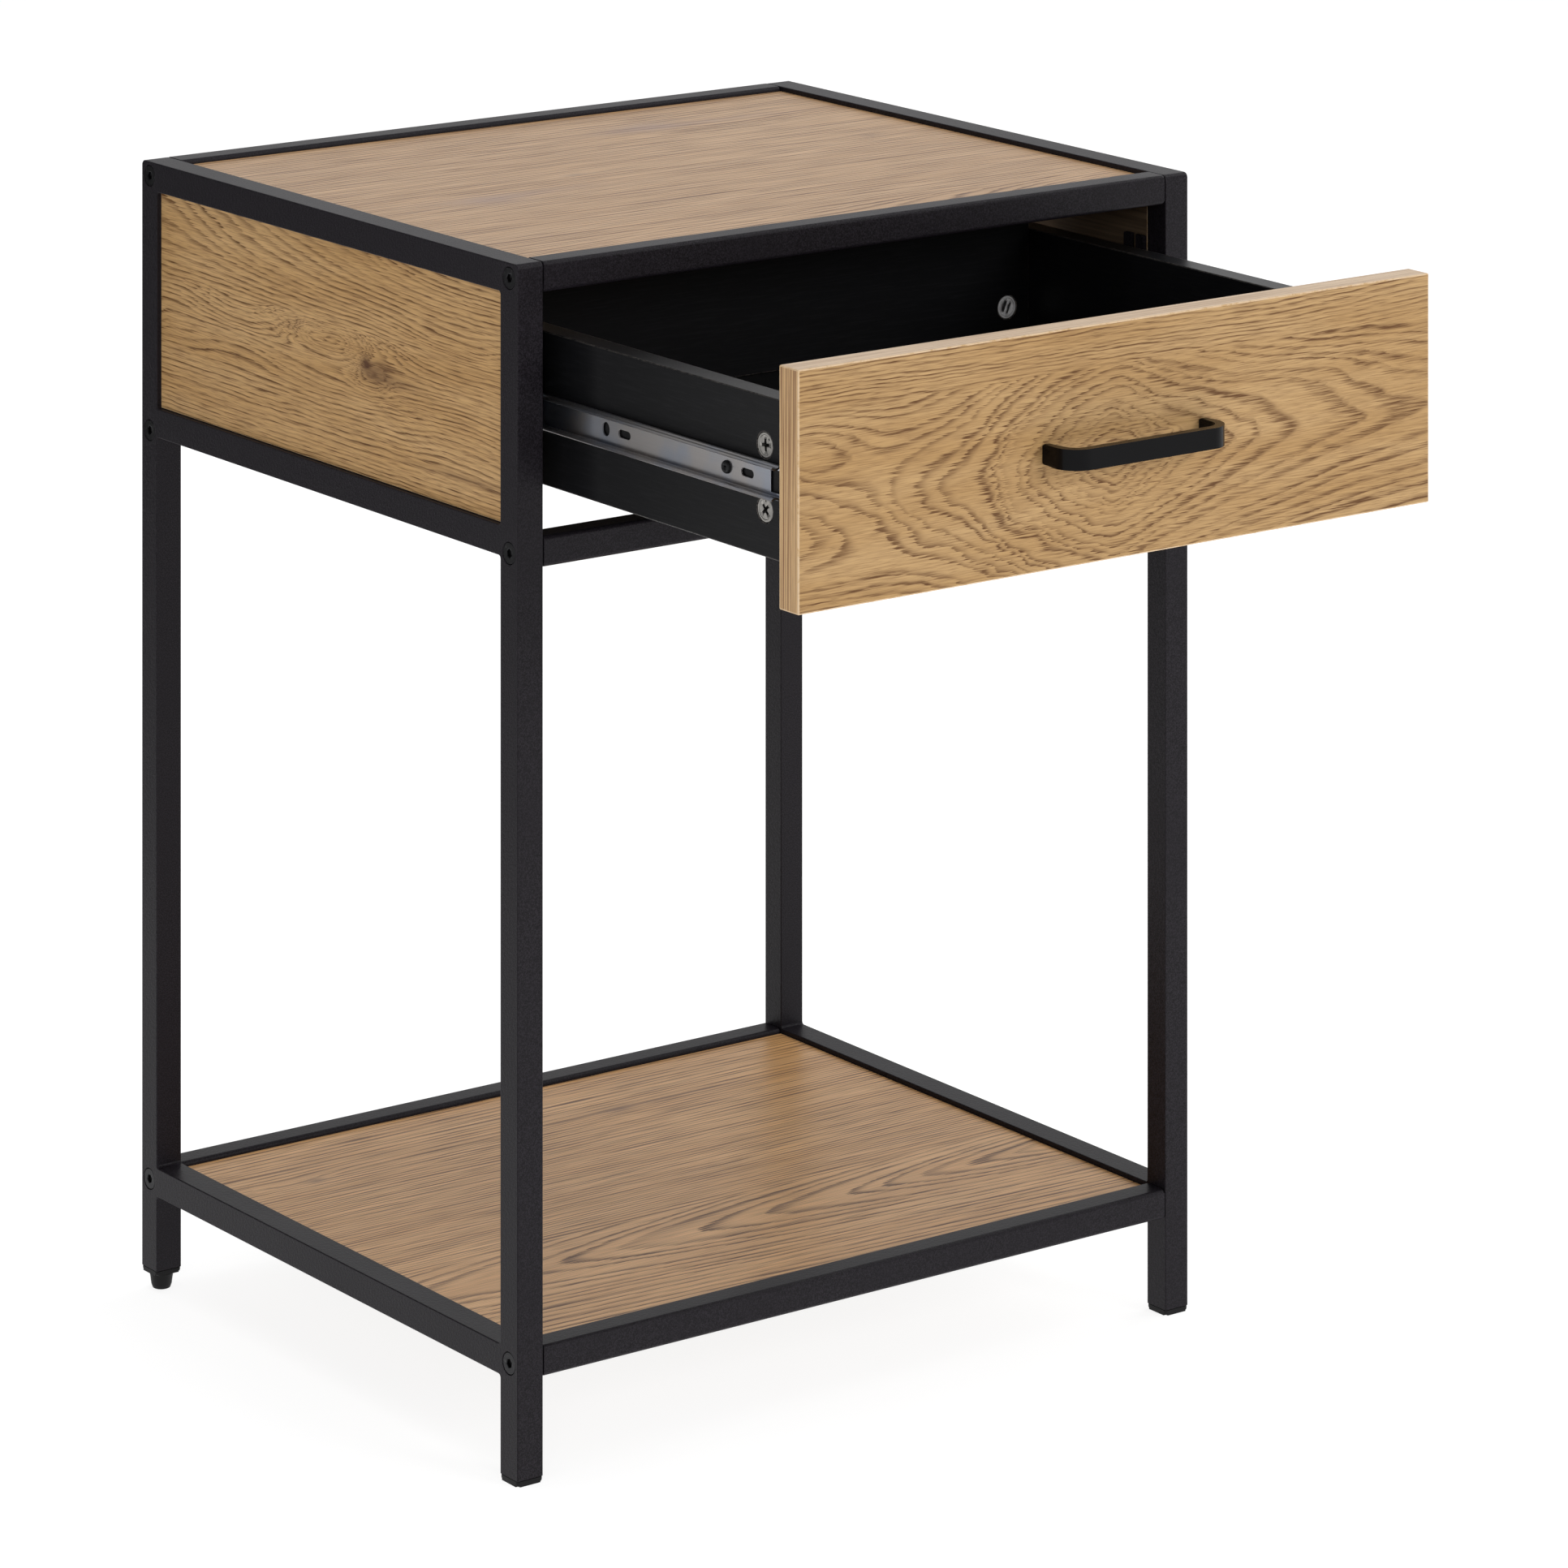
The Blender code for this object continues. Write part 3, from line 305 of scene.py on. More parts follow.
def oak(
    name, along, across, centre, strips, knots=(), contrast=1.0, wave=0.002, shine=0.15,
    light_tint=(1.0, 1.0, 1.0), run=1.0,
):
    """Printed oak on a board: growth rings cut by the face, drawn by short pores along the grain.

    along and across name the axes of the grain and of the board's other direction, and centre is
    the point where u and v are 0. The board is made up of strips side by side, each (upper edge, field,
    pitch). A field gives the distance across the rings at each place, so its level lines are the
    rings, and pitch is a ring's mean width. knots are dark spots, each (place, size, strength,
    colour), the tint factors are painted light that scales one board's print for the light falling on
    that board, and run is how much longer its pores are.
    """
    made = Finish(name, specular=shine)
    place = dict(zip(AXES, made.split(made.place)))
    u = made.math("SUBTRACT", place[along], centre[AXES.index(along)])
    v = made.math("SUBTRACT", place[across], centre[AXES.index(across)])

    broad = made.streaks(u, v, 9, 16, 3.1)
    small = made.streaks(u, v, 40 / run, 75, 7.7)
    fibre = made.streaks(u, v, 45 / run, 1150, 1.0, 2, 0.6)
    hair = made.streaks(u, v, 90 / run, 2300, 2.0)
    stagger = made.total(made.spread(small, -0.010, 0.010), made.spread(fibre, -0.009, 0.009))
    across_grain = made.total(v, made.spread(broad, -wave, wave), made.spread(small, -wave / 2, wave / 2))

    count = None
    for upper, field, pitch in strips:
        ring = field(made, made.total(u, stagger), across_grain)
        uneven = made.streaks(ring, u, 120, 2.0, 1.7 + pitch)
        here = made.total(made.times(ring, 1 / pitch), made.times(uneven, 2.2))
        if count is None:
            count, edge = here, upper
            continue
        above = made.math("GREATER_THAN", made.total(v, made.spread(broad, -0.002, 0.002)), edge)
        below = made.math("SUBTRACT", 1.0, above)
        count, edge = made.total(made.times(count, below), made.times(here, above)), upper

    phase = made.math("FRACT", count)
    fall = made.math("SUBTRACT", 1.0, made.rise(phase, 0.92, 1.0))
    late = made.times(made.rise(phase, 0.42, 0.88), fall)
    bold = made.streaks(u, count, 10, 0.45, 5.0)
    late = made.times(late, made.spread(made.rise(bold, 0.30, 0.62), 0.35, 1.0))
    dash = made.rise(fibre, 0.36, 0.58)
    pore = made.rise(hair, 0.52, 0.72)
    line = made.times(late, made.spread(dash, 0.45, 1.0))

    patch = made.streaks(u, v, 6, 44, 9.0, 3)
    # Painted light: each board's tint scales its print's colours for the light that falls on that board; the
    # shelf, shaded by the top, is lightened most.
    deep, pale = [[a * b for a, b in zip(colour, light_tint)] for colour in (OAK, PALE_OAK)]
    base = made.mix(made.rise(patch, 0.3, 0.72), deep, pale)
    shade = made.total(
        made.times(line, 0.80 * contrast),
        made.times(pore, 0.30 * contrast),
        made.times(made.rise(fibre, 0.30, 0.70), 0.34 * contrast),
    )
    colour = made.mix(made.math("MINIMUM", shade, 1.0), base, DARK_OAK)
    smudge = made.spread(made.streaks(u, v, 60, 420, 0.0, 3), 0.3, 1.7)
    for at, size, strength, dye in knots:
        spot = swell(made, u, v, at, size, strength)
        colour = made.mix(made.math("MINIMUM", made.times(spot, smudge), 0.95), colour, dye)
    made.set("Base Color", colour)
    made.set("Roughness", made.total(made.spread(hair, 0.30, 0.44), made.times(line, 0.12)))
    made.bump(made.times(made.total(made.times(line, 0.9), made.times(pore, 0.7)), -1.0), 0.00005)
    return made.material


def swell(made, u, v, at, size, height):
    """A smooth hump in the ring field: rings bend round it, and close on it if it is steep."""
    du = made.times(made.math("SUBTRACT", u, at[0]), 1 / size[0])
    dv = made.times(made.math("SUBTRACT", v, at[1]), 1 / size[1])
    square = made.total(made.times(du, du), made.times(dv, dv))
    return made.times(made.math("POWER", math.e, made.times(square, -1.0)), height)


def humps(*rows, lean=0.0):
    """A field of straight grain with swells, each (place, size, height)."""

    def field(made, u, v):
        result = made.total(v, made.times(u, lean))
        for row in rows:
            result = made.total(result, swell(made, u, v, *row))
        return result

    return field


def eye(at, slopes, limits, power, *rows):
    """A field of rings closed round an eye, drawn out to the left and right along the grain.

    slopes and limits set how fast rings widen on each side and where they stop widening.
    """

    def field(made, u, v):
        du = made.math("SUBTRACT", u, at[0])
        reach = made.math("ABSOLUTE", du)
        leftward = made.math("LESS_THAN", du, 0.0)
        slope = made.spread(leftward, slopes[1], slopes[0])
        limit = made.spread(leftward, limits[1], limits[0])
        easing = made.total(1.0, made.math("DIVIDE", reach, limit))
        run = made.math("DIVIDE", made.times(reach, slope), easing)
        up = made.math("ABSOLUTE", made.math("SUBTRACT", v, at[1]))
        near = made.total(made.math("POWER", up, power), made.math("POWER", run, power))
        result = made.math("POWER", near, 1 / power)
        for row in rows:
            result = made.total(result, swell(made, u, v, *row))
        return result

    return field


def banding(name, along, pale=linear(214, 176, 126), dark=linear(150, 108, 70)):
    """Oak edge band: straight stripes along the edge."""
    across = {"X": "Y", "Y": "X", "Z": "Y"}[along]
    made = Finish(name)
    place = dict(zip(AXES, made.split(made.place)))
    stripes = made.streaks(place[along], place[across], 9, 850, 2.0)
    hair = made.streaks(place[along], place[across], 90, 3600)
    base = made.mix(made.rise(stripes, 0.40, 0.62), pale, dark)
    made.set("Base Color", made.mix(made.times(made.rise(hair, 0.5, 0.8), 0.5), base, DARK_OAK))
    made.set("Roughness", made.spread(hair, 0.38, 0.55))
    made.bump(made.times(hair, -1.0), 0.00004)
    return made.material


def hidden_face_shade(name, along):
    """Painted shade: a dark brown on a board's hidden face, standing in for the shade that falls on it, with
    a faint printed grain.
    """
    made = Finish(name, specular=0.12)
    across = {"X": "Y", "Y": "Z"}[along]
    place = dict(zip(AXES, made.split(made.place)))
    grain = made.streaks(place[along], place[across], 12, 420, 4.0, 3)
    fleck = made.noise(made.place, 1300, 2)
    made.set("Base Color", made.mix(made.rise(grain, 0.35, 0.65), linear(88, 73, 58), linear(110, 93, 74)))
    made.set("Roughness", made.spread(fleck, 0.45, 0.65))
    made.bump(fleck, 0.00003)
    return made.material


# ---- Shapes ----------------------------------------------------------------------------------


def add(name, shape, angle=38):
    """Makes an object of a bmesh, smooth but for edges sharper than an angle."""
    bmesh.ops.recalc_face_normals(shape, faces=shape.faces)
    mesh = bpy.data.meshes.new(name)
    shape.to_mesh(mesh)
    shape.free()
    mesh.shade_smooth()
    mesh.set_sharp_from_angle(angle=math.radians(angle))
    thing = bpy.data.objects.new(name, mesh)
    bpy.context.scene.collection.objects.link(thing)
    return thing


def spread_over(axis):
    """How a 2D outline and a height along an axis become a point."""
    return {
        "X": lambda u, v, t: (t, u, v),
        "Y": lambda u, v, t: (u, t, v),
        "Z": lambda u, v, t: (u, v, t),
    }[axis]


def add_prism(shape, outline, axis, start, end):
    """Extrudes a 2D outline and returns its first and last rim as edges."""
    point = spread_over(axis)
    rings = [[shape.verts.new(point(u, v, t)) for u, v in outline] for t in (start, end)]
    for ring in rings:
        shape.faces.new(ring)
    for index in range(len(outline)):
        after = (index + 1) % len(outline)
        shape.faces.new((rings[0][index], rings[0][after], rings[1][after], rings[1][index]))
    return [[shape.edges.get((a, b)) for a, b in zip(ring, ring[1:] + ring[:1])] for ring in rings]


def turned(name, profile, steps, angle=38):
    """A solid of revolution about Z from (height, radius) points."""
    shape = bmesh.new()
    rings = []
    for height, radius in profile:
        turns = [2 * math.pi * step / steps for step in range(steps)]
        rings.append([shape.verts.new((radius * math.cos(t), radius * math.sin(t), height)) for t in turns])
    for below, above in zip(rings, rings[1:]):
        for step in range(steps):
            after = (step + 1) % steps
            shape.faces.new((below[step], below[after], above[after], above[step]))
    shape.faces.new(rings[0][::-1])
    shape.faces.new(rings[-1])
    return add(name, shape, angle)


def plate(name, outline, axis, start, end, soft, steps):
    """A 2D outline made solid along an axis, its two rims softened."""
    shape = bmesh.new()
    rims = add_prism(shape, outline, axis, start, end)
    round_edges(shape, rims[0] + rims[1], soft, steps)
    return add(name, shape)


def round_edges(shape, edges, radius, steps=ARC_STEPS):
    bmesh.ops.bevel(
        shape, geom=edges, offset=radius, segments=steps, profile=0.5, affect="EDGES", clamp_overlap=True
    )


def arc(centre, radius, start, end, steps):
    """Points on an arc, angles in degrees."""
    points = []
    for step in range(steps + 1):
        angle = math.radians(start + (end - start) * step / steps)
        points.append(Vector(centre) + radius * Vector((math.cos(angle), math.sin(angle))))
    return points


def rounded_rectangle(low, high, radius, steps=ARC_STEPS):
    outline = []
    for quarter, (x, y) in enumerate(((1, 1), (0, 1), (0, 0), (1, 0))):
        centre = (
            high[0] - radius if x else low[0] + radius,
            high[1] - radius if y else low[1] + radius,
        )
        outline += arc(centre, radius, quarter * 90, quarter * 90 + 90, steps)
    return outline


def ribbon(line, thickness):
    """The outline of a strip of sheet that follows a line of 2D points, its ends square."""
    sides = ([], [])
    for index, point in enumerate(line):
        before = line[max(index - 1, 0)]
        after = line[min(index + 1, len(line) - 1)]
        run = (after - before).normalized()
        across = Vector((-run.y, run.x)) * thickness / 2
        sides[0].append(point + across)
        sides[1].append(point - across)
    return sides[0] + sides[1][::-1]


def merge(thing, others, operation):
    """Joins other shapes to a thing or cuts them from it, and removes them."""
    for other in others:
        step = thing.modifiers.new(operation, "BOOLEAN")
        step.operation = operation
        step.solver = "EXACT"
        step.object = other
    graph = bpy.context.evaluated_depsgraph_get()
    mesh = bpy.data.meshes.new_from_object(thing.evaluated_get(graph))
    thing.modifiers.clear()
    thing.data = mesh
    for other in others:
        bpy.data.objects.remove(other)
    return thing


def even_normals(thing):
    """Keeps flats flat beside rounded edges."""
    step = thing.modifiers.new("even_normals", "WEIGHTED_NORMAL")
    step.keep_sharp = True
    step.weight = 50


def dress(thing, body, slot_name, finishes, *nodes):
    """Gives a piece its body and finishes, hides the frame's nodes that it stands for and evens its normals;
    slot_name is not used.
    """
    for finish in finishes:
        thing.data.materials.append(finish)
    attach(thing, body)
    if nodes:
        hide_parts(*nodes)
    even_normals(thing)
    return thing


def turned_cutter(profile, matrix, steps=32):
    cutter = turned("cutter", profile, steps)
    cutter.matrix_world = matrix
    bpy.context.view_layer.update()
    return cutter


def box_cutter(low, high, matrix=None):
    shape = bmesh.new()
    size = [b - a for a, b in zip(low, high)]
    centre = [(a + b) / 2 for a, b in zip(low, high)]
    spot = Matrix.Translation(centre) @ Matrix.Diagonal((*size, 1.0))
    bmesh.ops.create_cube(shape, size=1.0, matrix=spot)
    cutter = add("cutter", shape)
    if matrix:
        cutter.matrix_world = matrix
    bpy.context.view_layer.update()
    return cutter


def spin(degrees):
    return Matrix.Rotation(math.radians(degrees), 4, "Z")


def aim(point, direction, turn=0.0):
    """The matrix that puts a piece's own +Z along a direction at a point, turned about it."""
    way = Vector(direction).to_track_quat("Z", "Y").to_matrix().to_4x4()
    return Matrix.Translation(point) @ way @ spin(turn)


def settle(thing, matrix):
    """Puts a shape made about its own origin in the frame, with its points in the frame's axes."""
    thing.data.transform(matrix)
    return thing


def middle(node):
    low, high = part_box(node)
    return (low + high) / 2


def outer_face(node, axis, way):
    """The centre of a round part's face on one side, and the part's radius."""
    low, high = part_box(node)
    point = (low + high) / 2
    point[axis] = high[axis] if way > 0 else low[axis]
    return point, (high.z - low.z) / 2


# ---- Steel frame -----------------------------------------------------------------------------


def tube_size():
    low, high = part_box("front_middle_cross_rail")
    return high.z - low.z


def side_frame(side_name, side, paint):
    """Two legs and three rails as one ground weldment, countersunk for the bolts."""
    low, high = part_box(f"{side_name}_side_frame")
    tube = tube_size()
    outer = side * max(abs(low.x), abs(high.x))
    inner = outer - side * tube
    columns = (low.y, low.y + tube, high.y - tube, high.y)
    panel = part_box(f"{side_name}_side_panel")[0]
    panel_gap = panel.y - columns[1]
    rail_tops = (rail_top("front_bottom_cross_rail"), panel.z - panel_gap, rail_top("front_top_cross_rail"))
    rows = []
    for top in rail_tops:
        rows += [top - tube, top]
    ends = {0: low.z, 2: leg_end(side_name, "back")}

    shape = bmesh.new()
    cells = []
    for column in (0, 2):
        levels = [ends[column]] + rows
        for z0, z1 in zip(levels, levels[1:]):
            cells.append((columns[column], columns[column + 1], z0, z1))
    for z0, z1 in zip(rows[::2], rows[1::2]):
        cells.append((columns[1], columns[2], z0, z1))
    x0, x1 = sorted((inner, outer))
    for y0, y1, z0, z1 in cells:
        corners = ((y0, z0), (y1, z0), (y1, z1), (y0, z1))
        shape.faces.new([shape.verts.new((x0, y, z)) for y, z in corners])
    bmesh.ops.remove_doubles(shape, verts=shape.verts, dist=1e-6)
    swept = bmesh.ops.extrude_face_region(shape, geom=shape.faces[:])["geom"]
    far = [item for item in swept if isinstance(item, bmesh.types.BMVert)]
    bmesh.ops.translate(shape, verts=far, vec=(x1 - x0, 0, 0))
    bmesh.ops.recalc_face_normals(shape, faces=shape.faces)

    def at_end(edge):
        return all(any(abs(vert.co.z - end) < 1e-6 for end in ends.values()) for vert in edge.verts)

    def crosswise(edge):
        return abs(edge.verts[0].co.x - edge.verts[1].co.x) > tube / 2

    corners = [e for e in shape.edges if crosswise(e) and e.calc_face_angle(0) > 1 and not at_end(e)]
    tops = [e for e in corners if e.is_convex and min(v.co.z for v in e.verts) > rows[-1] - 1e-6]
    round_edges(shape, tops, CROWN_ROUND)
    welds = [e for e in shape.edges if crosswise(e) and e.calc_face_angle(0) > 1 and not e.is_convex]
    round_edges(shape, welds, WINDOW_FILLET)
    rims = [e for e in shape.edges if not crosswise(e) and e.calc_face_angle(0) > 1 and not at_end(e)]
    round_edges(shape, rims, TUBE_RADIUS)
    thing = add(f"{side_name}_frame_weldment", shape)

    cutters = []
    for end in ENDS:
        for level in LEVELS:
            centre, head = outer_face(f"{side_name}_{end}_{level}_bolt", 0, side)
            mouth = head + LEAD_IN
            bore = 0.0026
            profile = [
                (-0.0120, bore),
                (-mouth, bore),
                (-0.0008, mouth - 0.0002),
                (-0.0006, mouth),
                (0.0006, mouth + 0.0002),
            ]
            cutters.append(turned_cutter(profile, aim((outer, centre.y, centre.z), (side, 0, 0))))
    merge(thing, cutters, "DIFFERENCE")
    dress(thing, FRAME_BODY, "frame_paint", [paint], f"{side_name}_side_frame")
    for end in ENDS:
        runner_bracket(side_name, side, end, inner, paint)


def leg_end(side_name, end):
    """Where a leg's tube stops: just above its plug's flange."""
    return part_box(f"{side_name}_{end}_leg_plug")[1].z - PLUG_INSERT + PLUG_GAP


def runner_bracket(side_name, side, end, inner, paint):
    """The plate that stands on the middle rail and carries the runner."""
    screw = middle(f"{side_name}_{end}_bracket_screw")
    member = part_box(f"{side_name}_runner_cabinet_member")
    gap = 0.0003
    wall = max(abs(member[0].x), abs(member[1].x)) + gap
    thickness = 0.0020
    half = 0.008
    below_panel = 0.0125
    above_screw = 0.0420
    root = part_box(f"{side_name}_side_panel")[0].z - below_panel
    top = screw.z + above_screw
    outline = rounded_rectangle((screw.y - half, root), (screw.y + half, top), 0.0008)
    x0, x1 = sorted((side * wall, side * (wall + thickness)))
    thing = plate(f"{side_name}_{end}_runner_bracket", outline, "X", x0, x1, 0.0003, 2)
    notch_half, notch_depth = 0.0018, 0.008
    notch = box_cutter(
        (x0 - NUDGE, screw.y - notch_half, top - notch_depth), (x1 + NUDGE, screw.y + notch_half, top + NUDGE)
    )
    merge(thing, [notch], "DIFFERENCE")
    dress(thing, FRAME_BODY, "frame_paint", [paint])


def cross_rail(node, paint):
    low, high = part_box(node)
    front, back = rail_depth(node)
    top = rail_top(node)
    outline = rounded_rectangle((front, top - tube_size()), (back, top), TUBE_RADIUS)
    thing = plate(f"{node}_tube", outline, "X", low.x, high.x, 0.0006, 3)
    dress(thing, FRAME_BODY, "frame_paint", [paint], node)


def rail_depth(node):
    """A cross rail's own depth, without its tabs."""
    low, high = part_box(node)
    if node.startswith("front"):
        return low.y, low.y + tube_size()
    return high.y - tube_size(), high.y


def rail_top(node):
    """The height of a cross rail's own top face, without its tabs."""
    if node.endswith("middle_cross_rail"):
        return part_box("front_middle_cross_rail")[1].z
    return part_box(node)[1].z


def tab(name, low, high, axis, start, spot, direction, paint, zinc):
    """A plate with its screw. low and high are its outline, and it starts at start along axis."""
    thing = plate(name, rounded_rectangle(low, high, TAB_ROUND), axis, start - TAB_SHEET, start, 0.0002, 2)
    dress(thing, FRAME_BODY, "frame_paint", [paint])
    pan_screw(f"{name}_screw", spot, direction, FRAME_BODY, "zinc_steel", zinc)


def tabs(paint, zinc):
    """The tabs that carry the boards: under the top and the shelf, and behind the back panel."""
    reach = 0.021
    screw_out = 0.0065     # from the rail's side to the screw
    tube = tube_size()
    for level in ("bottom", "top"):
        for end, inward in (("front", 1), ("back", -1)):
            node = f"{end}_{level}_cross_rail"
            start = sum(rail_depth(node)) / 2
            low_y, high_y = sorted((start, start + inward * reach))
            bottom = rail_top(node) - tube
            for index, x in enumerate(TAB_PLACES):
                spot = (x, start + inward * (tube / 2 + screw_out), bottom - TAB_SHEET)
                tab(
                    f"{end}_{level}_tab_{index + 1}", (x - TAB_HALF, low_y), (x + TAB_HALF, high_y),
                    "Z", bottom, spot, (0, 0, -1), paint, zinc,
                )
    gap = 0.0005
    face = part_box("back_panel")[0].y - gap
    top = rail_top("front_middle_cross_rail")
    lap, rise, screw_up = 0.0075, 0.0135, 0.0070     # below and above the rail's top
    for index, x in enumerate(TAB_PLACES):
        spot = (x, face - TAB_SHEET, top + screw_up)
        tab(
            f"back_middle_tab_{index + 1}", (x - TAB_HALF, top - lap), (x + TAB_HALF, top + rise),
            "Y", face, spot, (0, -1, 0), paint, zinc,
        )


# ---- Screws, bolts and cams ------------------------------------------------------------------


def cross_cutters(length, width, depth, matrix):
    """The two wings of a cross recess, narrowing to the bottom."""
    cutters = []
    for turn in (0, 90):
        shape = bmesh.new()
        rim = [(a * length / 2, b * width / 2) for a, b in ((-1, -1), (1, -1), (1, 1), (-1, 1))]
        top = [shape.verts.new((x, y, depth * 0.6)) for x, y in rim]
        base = [shape.verts.new((x * 0.45, y * 0.7, -depth)) for x, y in rim]
        shape.faces.new(top)
        shape.faces.new(base[::-1])
        for index in range(4):
            after = (index + 1) % 4
            shape.faces.new((base[index], base[after], top[after], top[index]))
        cutter = add("cutter", shape)
        cutter.matrix_world = matrix @ spin(turn)
        cutters.append(cutter)
    bpy.context.view_layer.update()
    return cutters


def soft_rim(radius, height, width, start, stop, steps):
    """(height, radius) points of a rounded rim, angles from the radius up, in degrees."""
    turn = arc((0, 0), 1.0, start, stop, steps)
    return [(point.y * height, radius - width + point.x * width) for point in turn]


def pan_screw(name, seat, direction, body, slot_name, finish, nodes=(), turn=20):
    """A pan-head screw on its seat: domed head, cross recess and a stub of shank below."""
    radius, high, shank = 0.0032, 0.0017, 0.0013
    head = [(-0.0060, shank), (0.0, shank), (0.0, radius)]
    head += soft_rim(radius, high, 0.0009, 15, 75, 4)
    head += [(high * 1.02, radius * 0.4)]
    thing = turned(name, head, 28)
    recess = cross_cutters(radius * 1.15, radius * 0.26, high * 0.75, Matrix.Translation((0, 0, high)))
    merge(thing, recess, "DIFFERENCE")
    settle(thing, aim(seat, direction, turn))
    return dress(thing, body, slot_name, [finish], *nodes)


def frame_bolt(node, side, finish, turn):
    """A countersunk bolt: flat head with a soft rim and a hexagon socket."""
    point, head = outer_face(node, 0, side)
    cone = head - 0.0025
    rim = 0.0002
    profile = [(-0.012, 0.0023), (-cone - 0.0004, 0.0025), (-0.0005, head)]
    profile += [(height - rim, radius) for height, radius in soft_rim(head, rim, rim, 0, 80, 3)]
    profile += [(-0.00005, head * 0.55)]
    thing = turned(f"{node}_head", profile, 36)
    socket = 0.0040 / math.sqrt(3)
    hexagon = [(-0.0024, socket * 0.6), (-0.0019, socket), (-0.0003, socket), (0.0005, socket * 1.35)]
    merge(thing, [turned_cutter(hexagon, Matrix.Identity(4), 6)], "DIFFERENCE")
    settle(thing, aim(point, (side, 0, 0), turn))
    dress(thing, FRAME_BODY, "black_steel", [finish], node)


def bracket_screw(node, side, finish):
    """A flat-head screw sunk in the cabinet member's web."""
    point, head = outer_face(node, 0, -side)
    profile = [(-0.0031, 0.0018), (-0.0018, 0.0018), (-0.0003, head), (0.0, head - 0.0002)]
    thing = turned(f"{node}_head", profile, 28)
    merge(thing, cross_cutters(0.0034, 0.0008, 0.0012, Matrix.Identity(4)), "DIFFERENCE")
    settle(thing, aim(point, (-side, 0, 0), 25))
    dress(thing, FRAME_BODY, "zinc_steel", [finish], node)


def cam(node, axis, way, cutters, turn, finish):
    """A cam lock: a cast disc with a raised rim, cut by what its face shows."""
    point, radius = outer_face(node, axis, way)
    rim, ring, dish = 0.0003, 0.0011, 0.00025
    bulge = 0.00005
    profile = [
        (-0.0076, radius - rim),
        (-0.0008, radius - rim),
        (-0.0005, radius - bulge),
        (-0.0002, radius - bulge),
        (0.0, radius - rim),
        (0.0, radius - ring),
        (-dish, radius - ring - rim),
        (-dish, radius * 0.3),
    ]
    thing = turned(f"{node}_disc", profile, 40)
    merge(thing, cutters(radius), "DIFFERENCE")
    direction = [0, 0, 0]
    direction[axis] = way
    settle(thing, aim(point, direction, turn))
    dress(thing, DRAWER, "zinc_cast", [finish], node)


def cross_and_tick(radius):
    """A cam's cross recess, and the mark that shows which way it is turned."""
    out, half_length, half_width = radius * 0.70, 0.0006, 0.00035
    tick = box_cutter(
        (out - half_length, -half_width, -0.0007),
        (out + half_length, half_width, NUDGE),
        spin(45),
    )
    return cross_cutters(radius * 1.25, 0.0017, 0.0042, Matrix.Identity(4)) + [tick]


def two_slots(radius):
    """The two slanted slots in the face of a cam in the drawer's back."""
    lean = spin(-24)
    half_width, half_length, depth = 0.0006, 0.0028, 0.0050
    cutters = []
    for offset in (-0.0014, 0.0014):
        low = (offset - half_width, -half_length, -depth)
        cutters.append(box_cutter(low, (offset + half_width, half_length, NUDGE), lean))
    return cutters


# ---- Feet ------------------------------------------------------------------------------------


def leg_plug(side_name, end, plastic):
    node = f"{side_name}_{end}_leg_plug"
    low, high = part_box(node)
    flange = leg_end(side_name, end) - PLUG_GAP
    shape = bmesh.new()
    outline = rounded_rectangle((low.x, low.y), (high.x, high.y), TUBE_RADIUS * 0.8)
    rims = add_prism(shape, outline, "Z", low.z, flange)
    round_edges(shape, rims[0], min(0.0014, (flange - low.z) * 0.7), 5)
    thing = add(f"{node}_cap", shape)
    insert = bmesh.new()
    inset = 0.0016
    outline = rounded_rectangle((low.x + inset, low.y + inset), (high.x - inset, high.y - inset), 0.0008, 3)
    add_prism(insert, outline, "Z", (low.z + flange) / 2, high.z)
    merge(thing, [add("insert", insert)], "UNION")
    if end == "back":
        drilling = [(-0.01, 0.0033), (0.04, 0.0033)]
        centre = middle(node)
        hole = turned_cutter(drilling, Matrix.Translation((centre.x, centre.y, low.z)))
        merge(thing, [hole], "DIFFERENCE")
    dress(thing, FRAME_BODY, "black_plastic", [plastic], node)


def levelling_foot(side_name, plastic):
    """A tapered pad with a rolled base, a collar, and a threaded stem up into its plug."""
    node = f"{side_name}_levelling_foot"
    low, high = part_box(node)
    radius = (high.x - low.x) / 2
    height = high.z - low.z
    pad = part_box(f"{side_name}_back_leg_plug")[0].z - 0.0003 - low.z
    base = radius * 0.77
    heel, brow = 0.0009, 0.0004
    profile = [(0.0, base * 0.55), (0.0003, base * 0.62), (0.0, base * 0.7), (0.0, base - heel)]
    profile += [(heel + rise, out) for rise, out in soft_rim(base, heel, heel, -75, 0, 5)]
    profile += [(0.0022, base + 0.0005), (pad - 0.0016, radius - 0.0003), (pad - 0.0007, radius)]
    profile += [(pad - brow + rise, out) for rise, out in soft_rim(radius, brow, brow, 10, 90, 4)]
    pitch, core, crest = 0.0010, 0.0026, 0.0030
    profile += [(pad, crest)]
    for index in range(int((height - pad - 0.001) / pitch)):
        start = pad + 0.0004 + index * pitch
        profile += [(start, core), (start + pitch * 0.45, crest), (start + pitch * 0.55, crest)]
    profile += [(height, 0.0024)]
    thing = turned(f"{node}_pad", profile, 36, 50)
    centre = middle(node)
    settle(thing, Matrix.Translation((centre.x, centre.y, low.z)))
    dress(thing, f"{side_name}_foot", "black_plastic", [plastic], node)


# ---- Boards ----------------------------------------------------------------------------------


